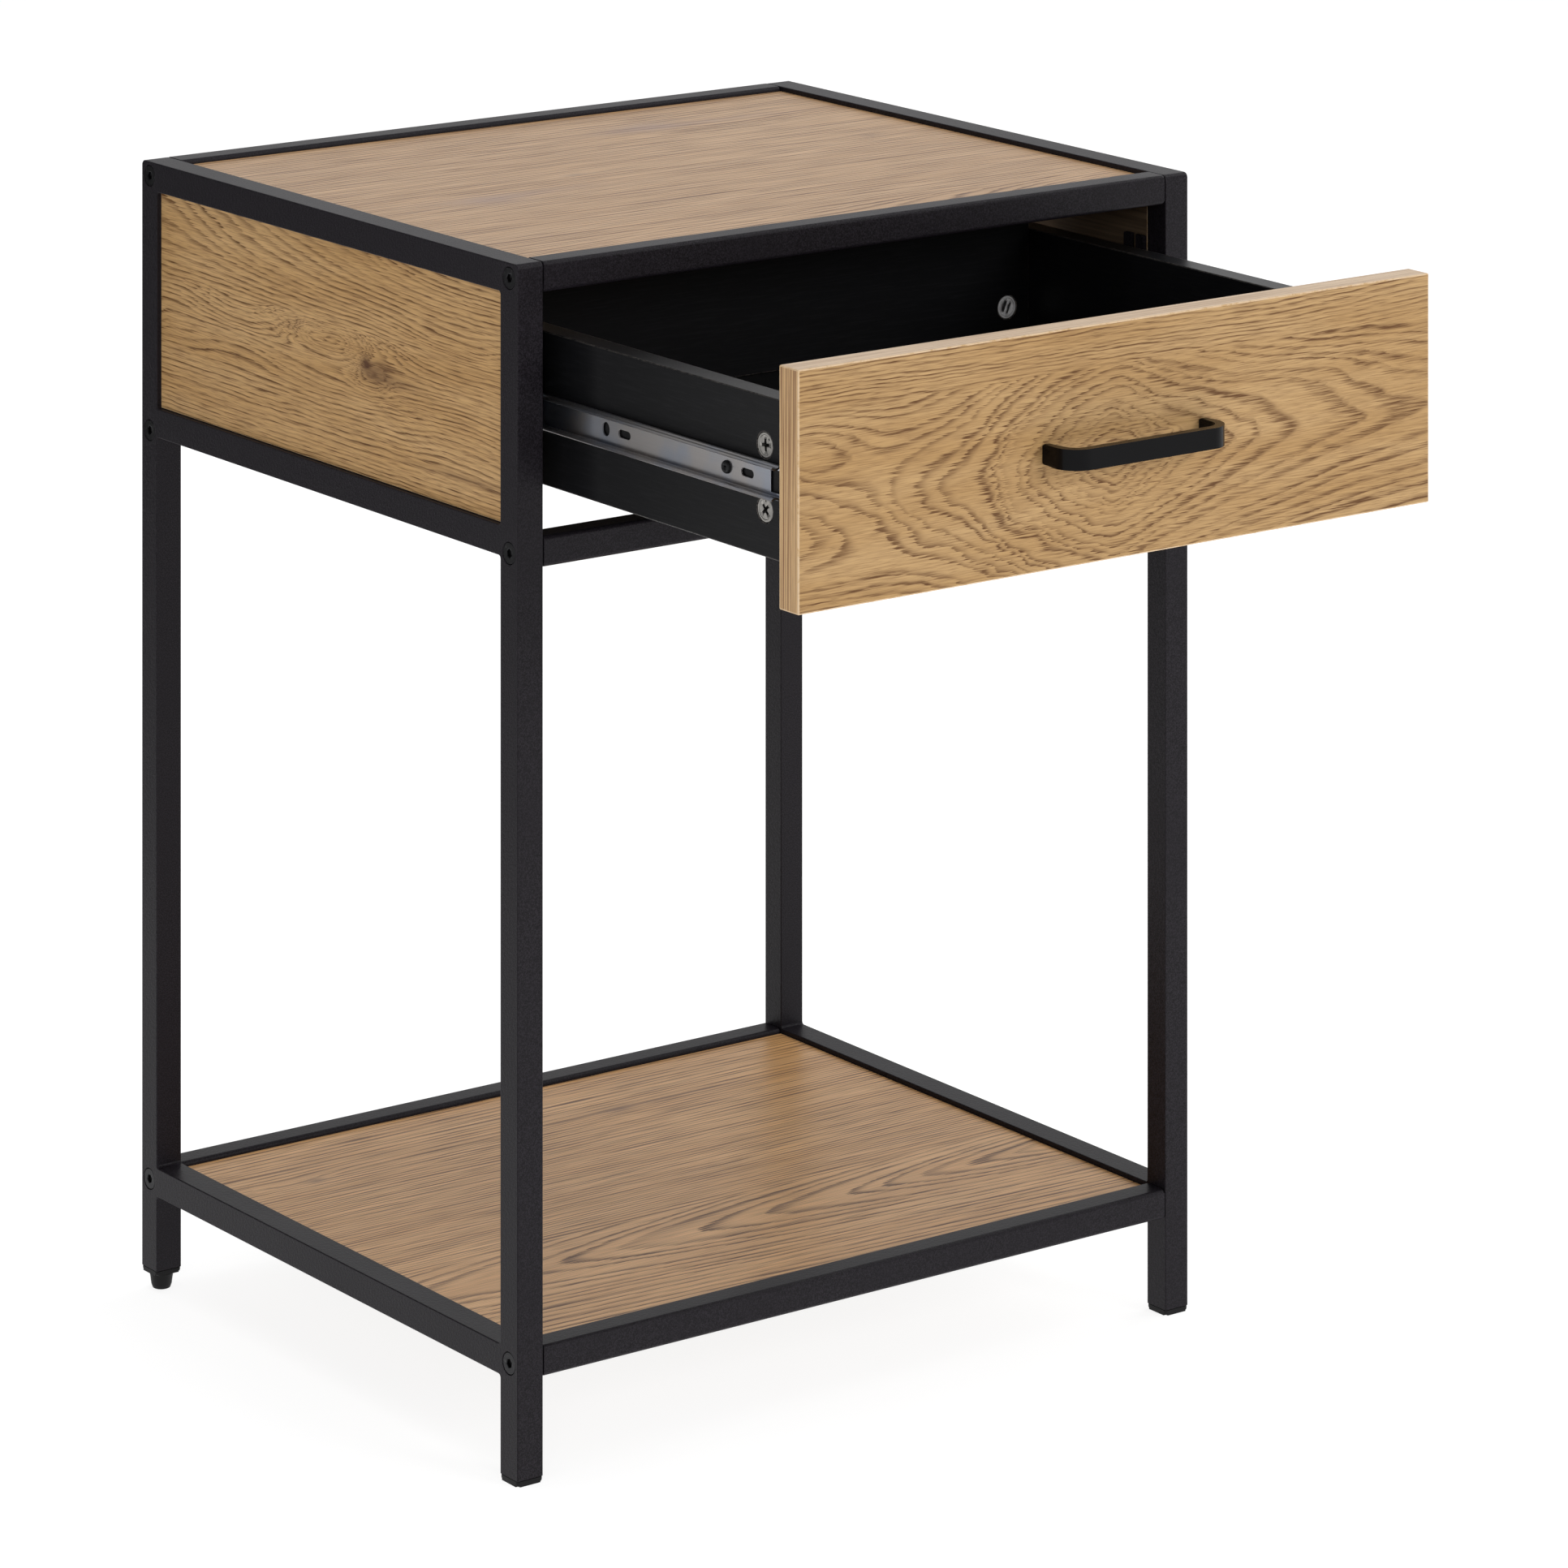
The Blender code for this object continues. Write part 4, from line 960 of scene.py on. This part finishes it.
def board(name, node, body, face, faces, common, show=0, arris=0.0004):
    """A board with eased edges. face is its oak, on the sides across the axis named by faces.

    common holds the edge bands by the axis they run along, the arris, and the painted shade on the hidden
    face, a dark brown standing in for the shade that falls there. show is the side that the oak is on, or 0
    for both.
    """
    low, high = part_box(node)
    others = [axis for axis in AXES if axis != faces]
    finishes = [face, common[others[1]], common[others[0]], common["arris"], common[f"paper_{faces}"]]
    shape = bmesh.new()
    matrix = Matrix.Translation((low + high) / 2) @ Matrix.Diagonal((*(high - low), 1.0))
    bmesh.ops.create_cube(shape, size=1.0, matrix=matrix)
    round_edges(shape, shape.edges[:], arris, 3)
    shape.normal_update()
    for side in shape.faces:
        strongest = max(range(3), key=lambda axis: abs(side.normal[axis]))
        if abs(side.normal[strongest]) < 0.98:
            side.material_index = 3
        elif AXES[strongest] == faces:
            side.material_index = 4 if side.normal[strongest] * show < 0 else 0
        else:
            side.material_index = 1 + others.index(AXES[strongest])
    thing = add(name, shape, 50)
    return dress(thing, body, "wood_board", finishes, node)


def keep_materials(thing, finishes):
    thing.data.materials.clear()
    for finish in finishes:
        thing.data.materials.append(finish)


FAR = 1.0     # an upper edge past any board's own


def top_board(common):
    """Straight grain in three strips, with two reddish patches."""
    centre = middle("top_panel")
    quiet = humps(((0.110, 0.090), (0.060, 0.016), 0.008), lean=0.01)
    plain = humps(((-0.115, -0.018), (0.040, 0.010), 0.004), ((0.080, 0.100), (0.050, 0.012), 0.005))
    lively = humps(((0.05, -0.165), (0.12, 0.020), 0.020), lean=-0.08)
    knots = (
        ((-0.118, -0.017), (0.020, 0.011), 0.48, BLUSH),
        ((-0.100, -0.012), (0.045, 0.006), 0.32, BLUSH),
        ((0.068, 0.110), (0.024, 0.011), 0.50, BLUSH),
        ((0.100, 0.106), (0.055, 0.005), 0.30, BLUSH),
        ((-0.044, 0.017), (0.007, 0.003), 0.38, KNOT),
        ((0.150, 0.020), (0.005, 0.004), 0.30, KNOT),
    )
    strips = ((-0.132, lively, 0.0030), (0.022, plain, 0.0032), (FAR, quiet, 0.0036))
    face = oak(
        "oak_top", "X", "Y", centre, strips, knots,
        contrast=1.2, wave=0.001, shine=0.6, light_tint=(1.02, 0.98, 1.08), run=3.0,
    )
    board("top_board", "top_panel", FRAME_BODY, face, "Z", common, 1)


def shelf_board(common):
    """Cathedral rings along the front edge, and straight grain behind them."""
    centre = middle("lower_shelf")
    nested = eye((0.260, -0.078), (0.16, 0.16), (1.2, 1.2), 1.7)
    straight = humps(((0.02, 0.03), (0.14, 0.05), 0.006), lean=0.004)
    lighter = humps(((-0.16, 0.10), (0.03, 0.012), 0.006))
    knots = (
        ((-0.149, 0.101), (0.006, 0.004), 0.45, KNOT),
        ((0.047, 0.104), (0.008, 0.004), 0.38, KNOT),
        ((0.080, 0.105), (0.060, 0.003), 0.20, KNOT),
    )
    strips = ((-0.046, nested, 0.0042), (0.102, straight, 0.0028), (FAR, lighter, 0.0038))
    face = oak(
        "oak_shelf", "X", "Y", centre, strips, knots,
        contrast=1.1, wave=0.0012, shine=0.55, light_tint=(1.34, 1.20, 1.15), run=2.6,
    )
    board("shelf_board", "lower_shelf", FRAME_BODY, face, "Z", common, 1)


def side_board(side_name, side, common):
    """Rings that rise to the front, bent round one knot low on the board."""
    node = f"{side_name}_side_panel"
    centre = middle(node)
    lower = humps(
        ((-0.004, 0.0085), (0.050, 0.0105), -0.031),
        ((-0.040, -0.005), (0.018, 0.009), 0.009),
        ((0.080, -0.010), (0.050, 0.012), -0.008),
        ((0.150, 0.010), (0.050, 0.020), -0.014),
        ((-0.120, -0.020), (0.060, 0.020), -0.007),
    )
    upper = humps(
        ((0.170, 0.075), (0.150, 0.040), -0.040),
        ((-0.02, 0.070), (0.07, 0.02), -0.012),
        ((-0.12, 0.022), (0.05, 0.01), 0.006),
    )
    knots = (
        ((-0.037, 0.000), (0.0044, 0.0036), 0.95, KNOT),
        ((-0.046, -0.003), (0.013, 0.005), 0.60, KNOT),
        ((-0.062, -0.005), (0.022, 0.003), 0.35, KNOT),
        ((-0.130, -0.041), (0.045, 0.0022), 0.40, KNOT),
    )
    strips = ((0.015, lower, 0.0025), (FAR, upper, 0.0022))
    face = oak(
        f"oak_{side_name}_side", "Y", "Z", centre, strips, knots,
        contrast=0.92, wave=0.0024, light_tint=(1.05, 1.05, 1.12),
    )
    board(f"{side_name}_side_board", node, FRAME_BODY, face, "X", common, side)


def back_board(common):
    centre = middle("back_panel")
    wavy = eye((-0.060, 0.004), (0.5, 0.4), (0.20, 0.16), 1.5)
    calm = humps(((0.10, 0.05), (0.10, 0.02), 0.008))
    strips = ((0.026, wavy, 0.0036), (FAR, calm, 0.0028))
    face = oak("oak_back", "X", "Z", centre, strips)
    board("back_board", "back_panel", FRAME_BODY, face, "Y", common, 1)


def drawer_board(common):
    """Rings closed round an eye behind the handle, under one strip of straight grain."""
    centre = middle("drawer_front")
    main = eye(
        (-0.006, -0.008), (0.724, 0.92), (0.280, 0.075), 1.5,
        ((-0.200, 0.020), (0.052, 0.022), -0.030),
        ((-0.205, -0.045), (0.060, 0.016), -0.022),
        ((0.120, 0.016), (0.050, 0.012), -0.006),
        ((-0.085, -0.010), (0.022, 0.030), 0.004),
    )
    calm = humps(((0.09, 0.04), (0.12, 0.02), 0.004), lean=-0.008)
    strips = ((0.0365, main, 0.0043), (FAR, calm, 0.0021))
    face = oak(
        "oak_drawer", "X", "Z", centre, strips, contrast=0.92, wave=0.0034, light_tint=(0.90, 0.91, 0.98)
    )
    # Painted sheen: the drawer front's top and bottom edge bands are paler than the others, standing in for
    # the grazing reflection on its top edge.
    sheen_band = banding("oak_band_sheen", "X", linear(222, 196, 166), linear(196, 166, 134))
    board("drawer_front_board", "drawer_front", DRAWER, face, "Y", {**common, "X": sheen_band}, arris=0.0007)


def wooden_boards():
    common = {axis: banding(f"oak_band_{axis.lower()}", axis) for axis in AXES}
    chips = (260, 4, 0.7)
    common["arris"] = speckled("oak_arris", chips, (0.45, 0.75), (OAK_RIM, OAK), chips, (0.32, 0.55), 0.00005)
    # Painted shade on the boards' hidden faces: a dark brown in place of the oak.
    common["paper_X"] = hidden_face_shade("inner_face_shade_sides", "Y")
    common["paper_Y"] = common["paper_Z"] = hidden_face_shade("inner_face_shade", "X")
    top_board(common)
    shelf_board(common)
    for side_name, side in SIDES:
        side_board(side_name, side, common)
    back_board(common)
    drawer_board(common)


# ---- Handle ----------------------------------------------------------------------------------


def handle(paint):
    """A bow of flat strip with generous bends and softly rounded edges."""
    low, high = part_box("drawer_handle")
    strip = 0.0046
    bend = 0.0125
    tight = bend - strip
    steps = 14
    x0, x1, near, far = low.x, high.x, high.y, low.y
    outline = [Vector((x0, near))]
    outline += arc((x0 + bend, far + bend), bend, 180, 270, steps)
    outline += arc((x1 - bend, far + bend), bend, 270, 360, steps)
    outline += [Vector((x1, near)), Vector((x1 - strip, near))]
    outline += arc((x1 - bend, far + bend), tight, 360, 270, steps)
    outline += arc((x0 + bend, far + bend), tight, 270, 180, steps)
    outline += [Vector((x0 + strip, near))]
    thing = plate("handle_bow", outline, "Z", low.z, high.z, 0.0013, 4)
    dress(thing, DRAWER, "frame_paint", [paint], "drawer_handle")


# ---- Runners ---------------------------------------------------------------------------------


def mirrored(half):
    return half + [Vector((point.x, -point.y)) for point in reversed(half)]


def cabinet_section():
    line = arc((BALL_OUT, -BALL_OFFSET), RACE_RADIUS + SHEET / 2, -30, -125, 12)
    bend = 0.0014
    line += arc((SHEET / 2 + bend, line[-1].y + bend), bend, -90, -180, 6)
    return mirrored(line)


def drawer_section():
    line = arc((BALL_OUT, -BALL_OFFSET), RACE_RADIUS + SHEET / 2, 140, 40, 12)
    bend = 0.0009
    line += arc((WEB - bend, -0.0068), bend, -80, 0, 6)
    return mirrored(line)


def cage_section():
    return mirrored([
        Vector((0.0070, -BALL_OFFSET)),
        Vector((0.0030, -BALL_OFFSET)),
        Vector((CAGE_WEB + 0.0003, -BALL_OFFSET + 0.0004)),
        Vector((CAGE_WEB, -BALL_OFFSET + 0.0012)),
    ])


def slot_cutter(x, y, z, length, height):
    """A slot with round ends through a runner's web."""
    radius = min(length, height) / 2
    low = (y - length / 2, z - height / 2)
    high = (y + length / 2, z + height / 2)
    shape = bmesh.new()
    add_prism(shape, rounded_rectangle(low, high, radius - 1e-5, 6), "X", x - 0.0015, x + 0.0015)
    return add("cutter", shape)


def runner(side_name, side, zinc):
    """A ball runner's three parts, each along one section, with their holes and balls."""
    nodes = {part: f"{side_name}_runner_{part}" for part in ("cabinet_member", "ball_cage", "drawer_member")}
    low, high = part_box(nodes["cabinet_member"])
    wall = max(abs(low.x), abs(high.x))
    level = (low.z + high.z) / 2

    def strip(name, section, sheet, y0, y1):
        outline = [(side * (wall - out), level + up) for out, up in ribbon(section, sheet)]
        shape = bmesh.new()
        add_prism(shape, outline, "Y", y0, y1)
        return add(name, shape, 50)

    fixed = strip(nodes["cabinet_member"] + "_rail", cabinet_section(), SHEET, low.y, high.y)
    inner_face = side * (wall - SHEET)
    sink = [(-0.004, 0.0022), (-0.001, 0.0028), (0, 0.0038), (0.001, 0.0048)]
    cutters = []
    for end in ENDS:
        screw = middle(f"{side_name}_{end}_bracket_screw")
        cutters.append(turned_cutter(sink, aim((inner_face, screw.y, level), (-side, 0, 0))))
    length, height = 0.0075, 0.0042
    for share in (0.2, 0.5, 0.65):
        y = low.y + share * (high.y - low.y)
        cutters.append(slot_cutter(side * wall, y, level, length, height))
    merge(fixed, cutters, "DIFFERENCE")
    dress(fixed, FRAME_BODY, "zinc_steel", [zinc], nodes["cabinet_member"])

    low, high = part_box(nodes["ball_cage"])
    cage = strip(nodes["ball_cage"] + "_strip", cage_section(), CAGE_SHEET, low.y, high.y)
    balls = bmesh.new()
    per_row = 8
    pitch = (high.y - low.y) / per_row
    for row in (-1, 1):
        for index in range(per_row):
            spot = (side * (wall - BALL_OUT), low.y + pitch * (index + 0.5), level + row * BALL_OFFSET)
            bmesh.ops.create_uvsphere(
                balls, u_segments=16, v_segments=10, radius=BALL_RADIUS, matrix=Matrix.Translation(spot)
            )
    merge(cage, [add("balls", balls)], "UNION")
    dress(cage, f"{side_name}_ball_cage", "zinc_steel", [zinc], nodes["ball_cage"])

    low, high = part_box(nodes["drawer_member"])
    moving = strip(nodes["drawer_member"] + "_rail", drawer_section(), SHEET, low.y, high.y)
    x = side * (wall - WEB)
    long_slot, tall_slot, screw_hole = (0.0100, 0.0040), (0.0060, 0.0068), (0.0042, 0.0042)
    holes = [(along, *long_slot) for along in (0.0265, 0.1262, 0.2250)]
    holes.append((0.1417, *tall_slot))
    for end in ENDS:
        holes.append((middle(f"{side_name}_{end}_runner_screw").y - low.y, *screw_hole))
    cutters = [slot_cutter(x, low.y + along, level, length, height) for along, length, height in holes]
    setback, half_height, half_sheet = 0.0087, 0.0055, 0.0015
    corner = (x - half_sheet, low.y - NUDGE, level - half_height)
    cutters.append(box_cutter(corner, (x + half_sheet, low.y + setback, level + half_height)))
    merge(moving, cutters, "DIFFERENCE")
    dress(moving, DRAWER, "zinc_steel", [zinc], nodes["drawer_member"])


# ---- Floor, light and camera -----------------------------------------------------------------


def surroundings():
    shape = bmesh.new()
    bmesh.ops.create_grid(shape, x_segments=8, y_segments=8, size=14.0)
    floor = add("floor", shape)
    made = Finish("floor_paper", specular=0.1)
    made.set("Roughness", 0.9)
    fleck = made.noise(made.place, 3, 2)
    made.set("Base Color", made.mix(fleck, (0.30, 0.30, 0.30), (0.32, 0.32, 0.32)))
    made.set("Emission Color", (1.0, 1.0, 1.0))
    made.set("Emission Strength", 0.86)
    floor.data.materials.append(made.material)

    world = bpy.data.worlds.new("studio")
    world.use_nodes = True
    background = world.node_tree.nodes["Background"]
    background.inputs["Color"].default_value = (1.0, 1.0, 1.0, 1.0)
    background.inputs["Strength"].default_value = 0.34
    bpy.context.scene.world = world

    flag()
    softbox("key_softbox", (1.2, -3.4, 1.7), 34, 1.2)
    softbox("side_softbox", (-2.4, -2.6, 1.5), 13, 0.8)
    softbox("right_softbox", (2.8, 0.6, 1.6), 26, 1.8)
    softbox("top_softbox", (-0.3, 0.2, 3.0), 20, 2.0)
    softbox("glint_softbox", (1.85, -0.95, 2.75), 10, 0.9)
    softbox("back_softbox", (2.5, 3.4, 1.9), 9, 2.4)


def flag():
    """A dark card out of view, which keeps the pale floor from greying the black steel's left."""
    shape = bmesh.new()
    corners = ((-0.75, 0.55, 0.0), (-0.75, 2.3, 0.0), (-0.75, 2.3, 1.2), (-0.75, 0.55, 1.2))
    shape.faces.new([shape.verts.new(corner) for corner in corners])
    card = add("flag", shape)
    card.visible_camera = False
    made = Finish("black_felt", specular=0.05)
    made.set("Roughness", 0.95)
    nap = made.noise(made.place, 900, 2)
    made.set("Base Color", made.mix(nap, (0.004, 0.004, 0.004), (0.009, 0.009, 0.009)))
    card.data.materials.append(made.material)


def softbox(name, place, power, size):
    """A square light out of view, turned to the table's middle."""
    light = bpy.data.lights.new(name, "AREA")
    light.shape = "SQUARE"
    light.size = size
    light.energy = power
    lamp = bpy.data.objects.new(name, light)
    bpy.context.scene.collection.objects.link(lamp)
    lamp.location = place
    aim_at = Vector((0, 0, 0.35))
    lamp.visible_camera = False
    lamp.rotation_euler = (aim_at - Vector(place)).to_track_quat("-Z", "Y").to_euler()


CAMERA_PLACE = (-2.0631, -2.7885, 1.2344)
CAMERA_TURN = math.radians(35.905)   # to the right of straight back
CAMERA_DIP = 0.27147                # fall of the view's middle ray for each metre forward
CAMERA_SWING = 0.00920              # and how far it runs to the right
CAMERA_LENS = 162.54


def camera():
    """A view camera: its film stands upright while it looks down, so that the legs stay parallel.

    The lean between the film and the view is in the camera's parent inverse, with no lens shift.
    """
    data = bpy.data.cameras.new("camera")
    data.sensor_width = 36.0
    data.lens = CAMERA_LENS
    data.clip_end = 100.0
    thing = bpy.data.objects.new("camera", data)
    bpy.context.scene.collection.objects.link(thing)
    stand = bpy.data.objects.new("camera_stand", None)
    bpy.context.scene.collection.objects.link(stand)
    right = Vector((math.cos(CAMERA_TURN), -math.sin(CAMERA_TURN), 0.0))
    ahead = Vector((math.sin(CAMERA_TURN), math.cos(CAMERA_TURN), 0.0))
    up = Vector((0.0, 0.0, 1.0))
    ray = (ahead + CAMERA_SWING * right - CAMERA_DIP * up).normalized()
    lean = Matrix((right, up, -ray)).transposed().to_4x4()
    thing.parent = stand
    thing.matrix_parent_inverse = Matrix.Translation(CAMERA_PLACE) @ lean
    bpy.context.scene.camera = thing


# ---- The table -------------------------------------------------------------------------------


def build():
    paint = powder_coat("powder_coat")
    handle_paint = speckled(
        "handle_paint", (60, 2), (0.0, 1.0), (linear(5, 5, 6), linear(10, 9, 11)),
        (1800, 2), (0.14, 0.22), 0.00002, specular=0.11,
    )
    oxide = speckled(
        "black_oxide", (420, 3), (0.55, 0.8), (linear(38, 38, 40), linear(74, 73, 74)),
        (3000, 2), (0.28, 0.48), 0.00002, metallic=0.85,
    )
    plastic = speckled(
        "black_plastic", (90, 4, 0.7), (0.5, 0.8), (linear(13, 12, 14), linear(27, 26, 28)),
        (2200, 3), (0.4, 0.62), 0.00004, specular=0.2,
    )
    zinc = zinc_plate("zinc_plate")
    cast = cast_zinc("cast_zinc", linear(182, 179, 174), 0.85, "X")
    # Painted light: the back cams get a near-white, non-metal copy of the cast zinc, standing in for the
    # light that the top keeps from them.
    lit_cast = cast_zinc("lit_cast_zinc", linear(252, 252, 254), 0.0, "Y")

    for side_name, side in SIDES:
        side_frame(side_name, side, paint)
        for end in ENDS:
            leg_plug(side_name, end, plastic)
            for index, level in enumerate(LEVELS):
                frame_bolt(f"{side_name}_{end}_{level}_bolt", side, oxide, 17 + 23 * index)
        levelling_foot(side_name, plastic)
        runner(side_name, side, zinc)
    for end in ENDS:
        for level in LEVELS:
            cross_rail(f"{end}_{level}_cross_rail", paint)
    tabs(paint, zinc)
    wooden_boards()
    handle(handle_paint)

    for side_name, side in SIDES:
        cam(f"{side_name}_upper_front_cam", 0, side, cross_and_tick, 4, cast)
        cam(f"{side_name}_lower_front_cam", 0, side, cross_and_tick, 42, cast)
        cam(f"{side_name}_back_cam", 1, -1, two_slots, 0, lit_cast)
        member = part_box(f"{side_name}_runner_drawer_member")
        web = side * (min(abs(member[0].x), abs(member[1].x)) + SHEET)
        for end in ENDS:
            node = f"{side_name}_{end}_runner_screw"
            spot = middle(node)
            spot.x = web
            pan_screw(f"{node}_head", spot, (side, 0, 0), DRAWER, "black_steel", oxide, [node], 38)
            bracket_screw(f"{side_name}_{end}_bracket_screw", side, zinc)
        node = f"{side_name}_handle_screw"
        spot = middle(node)
        spot.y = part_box("drawer_front")[1].y
        pan_screw(f"{node}_head", spot, (0, 1, 0), DRAWER, "zinc_steel", zinc, [node], 30)

    length_ways = black_laminate("black_laminate_sides", "X")
    width_ways = black_laminate("black_laminate_back", "Y")
    hardboard = black_laminate("black_hardboard", "Y", 24)
    for node, finish in (
        ("drawer_left_side", length_ways),
        ("drawer_right_side", length_ways),
        ("drawer_back", width_ways),
        ("drawer_bottom", hardboard),
    ):
        keep_materials(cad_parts[node], [finish])
    surroundings()
    camera()
    bpy.context.scene.view_settings.view_transform = "Standard"


build()
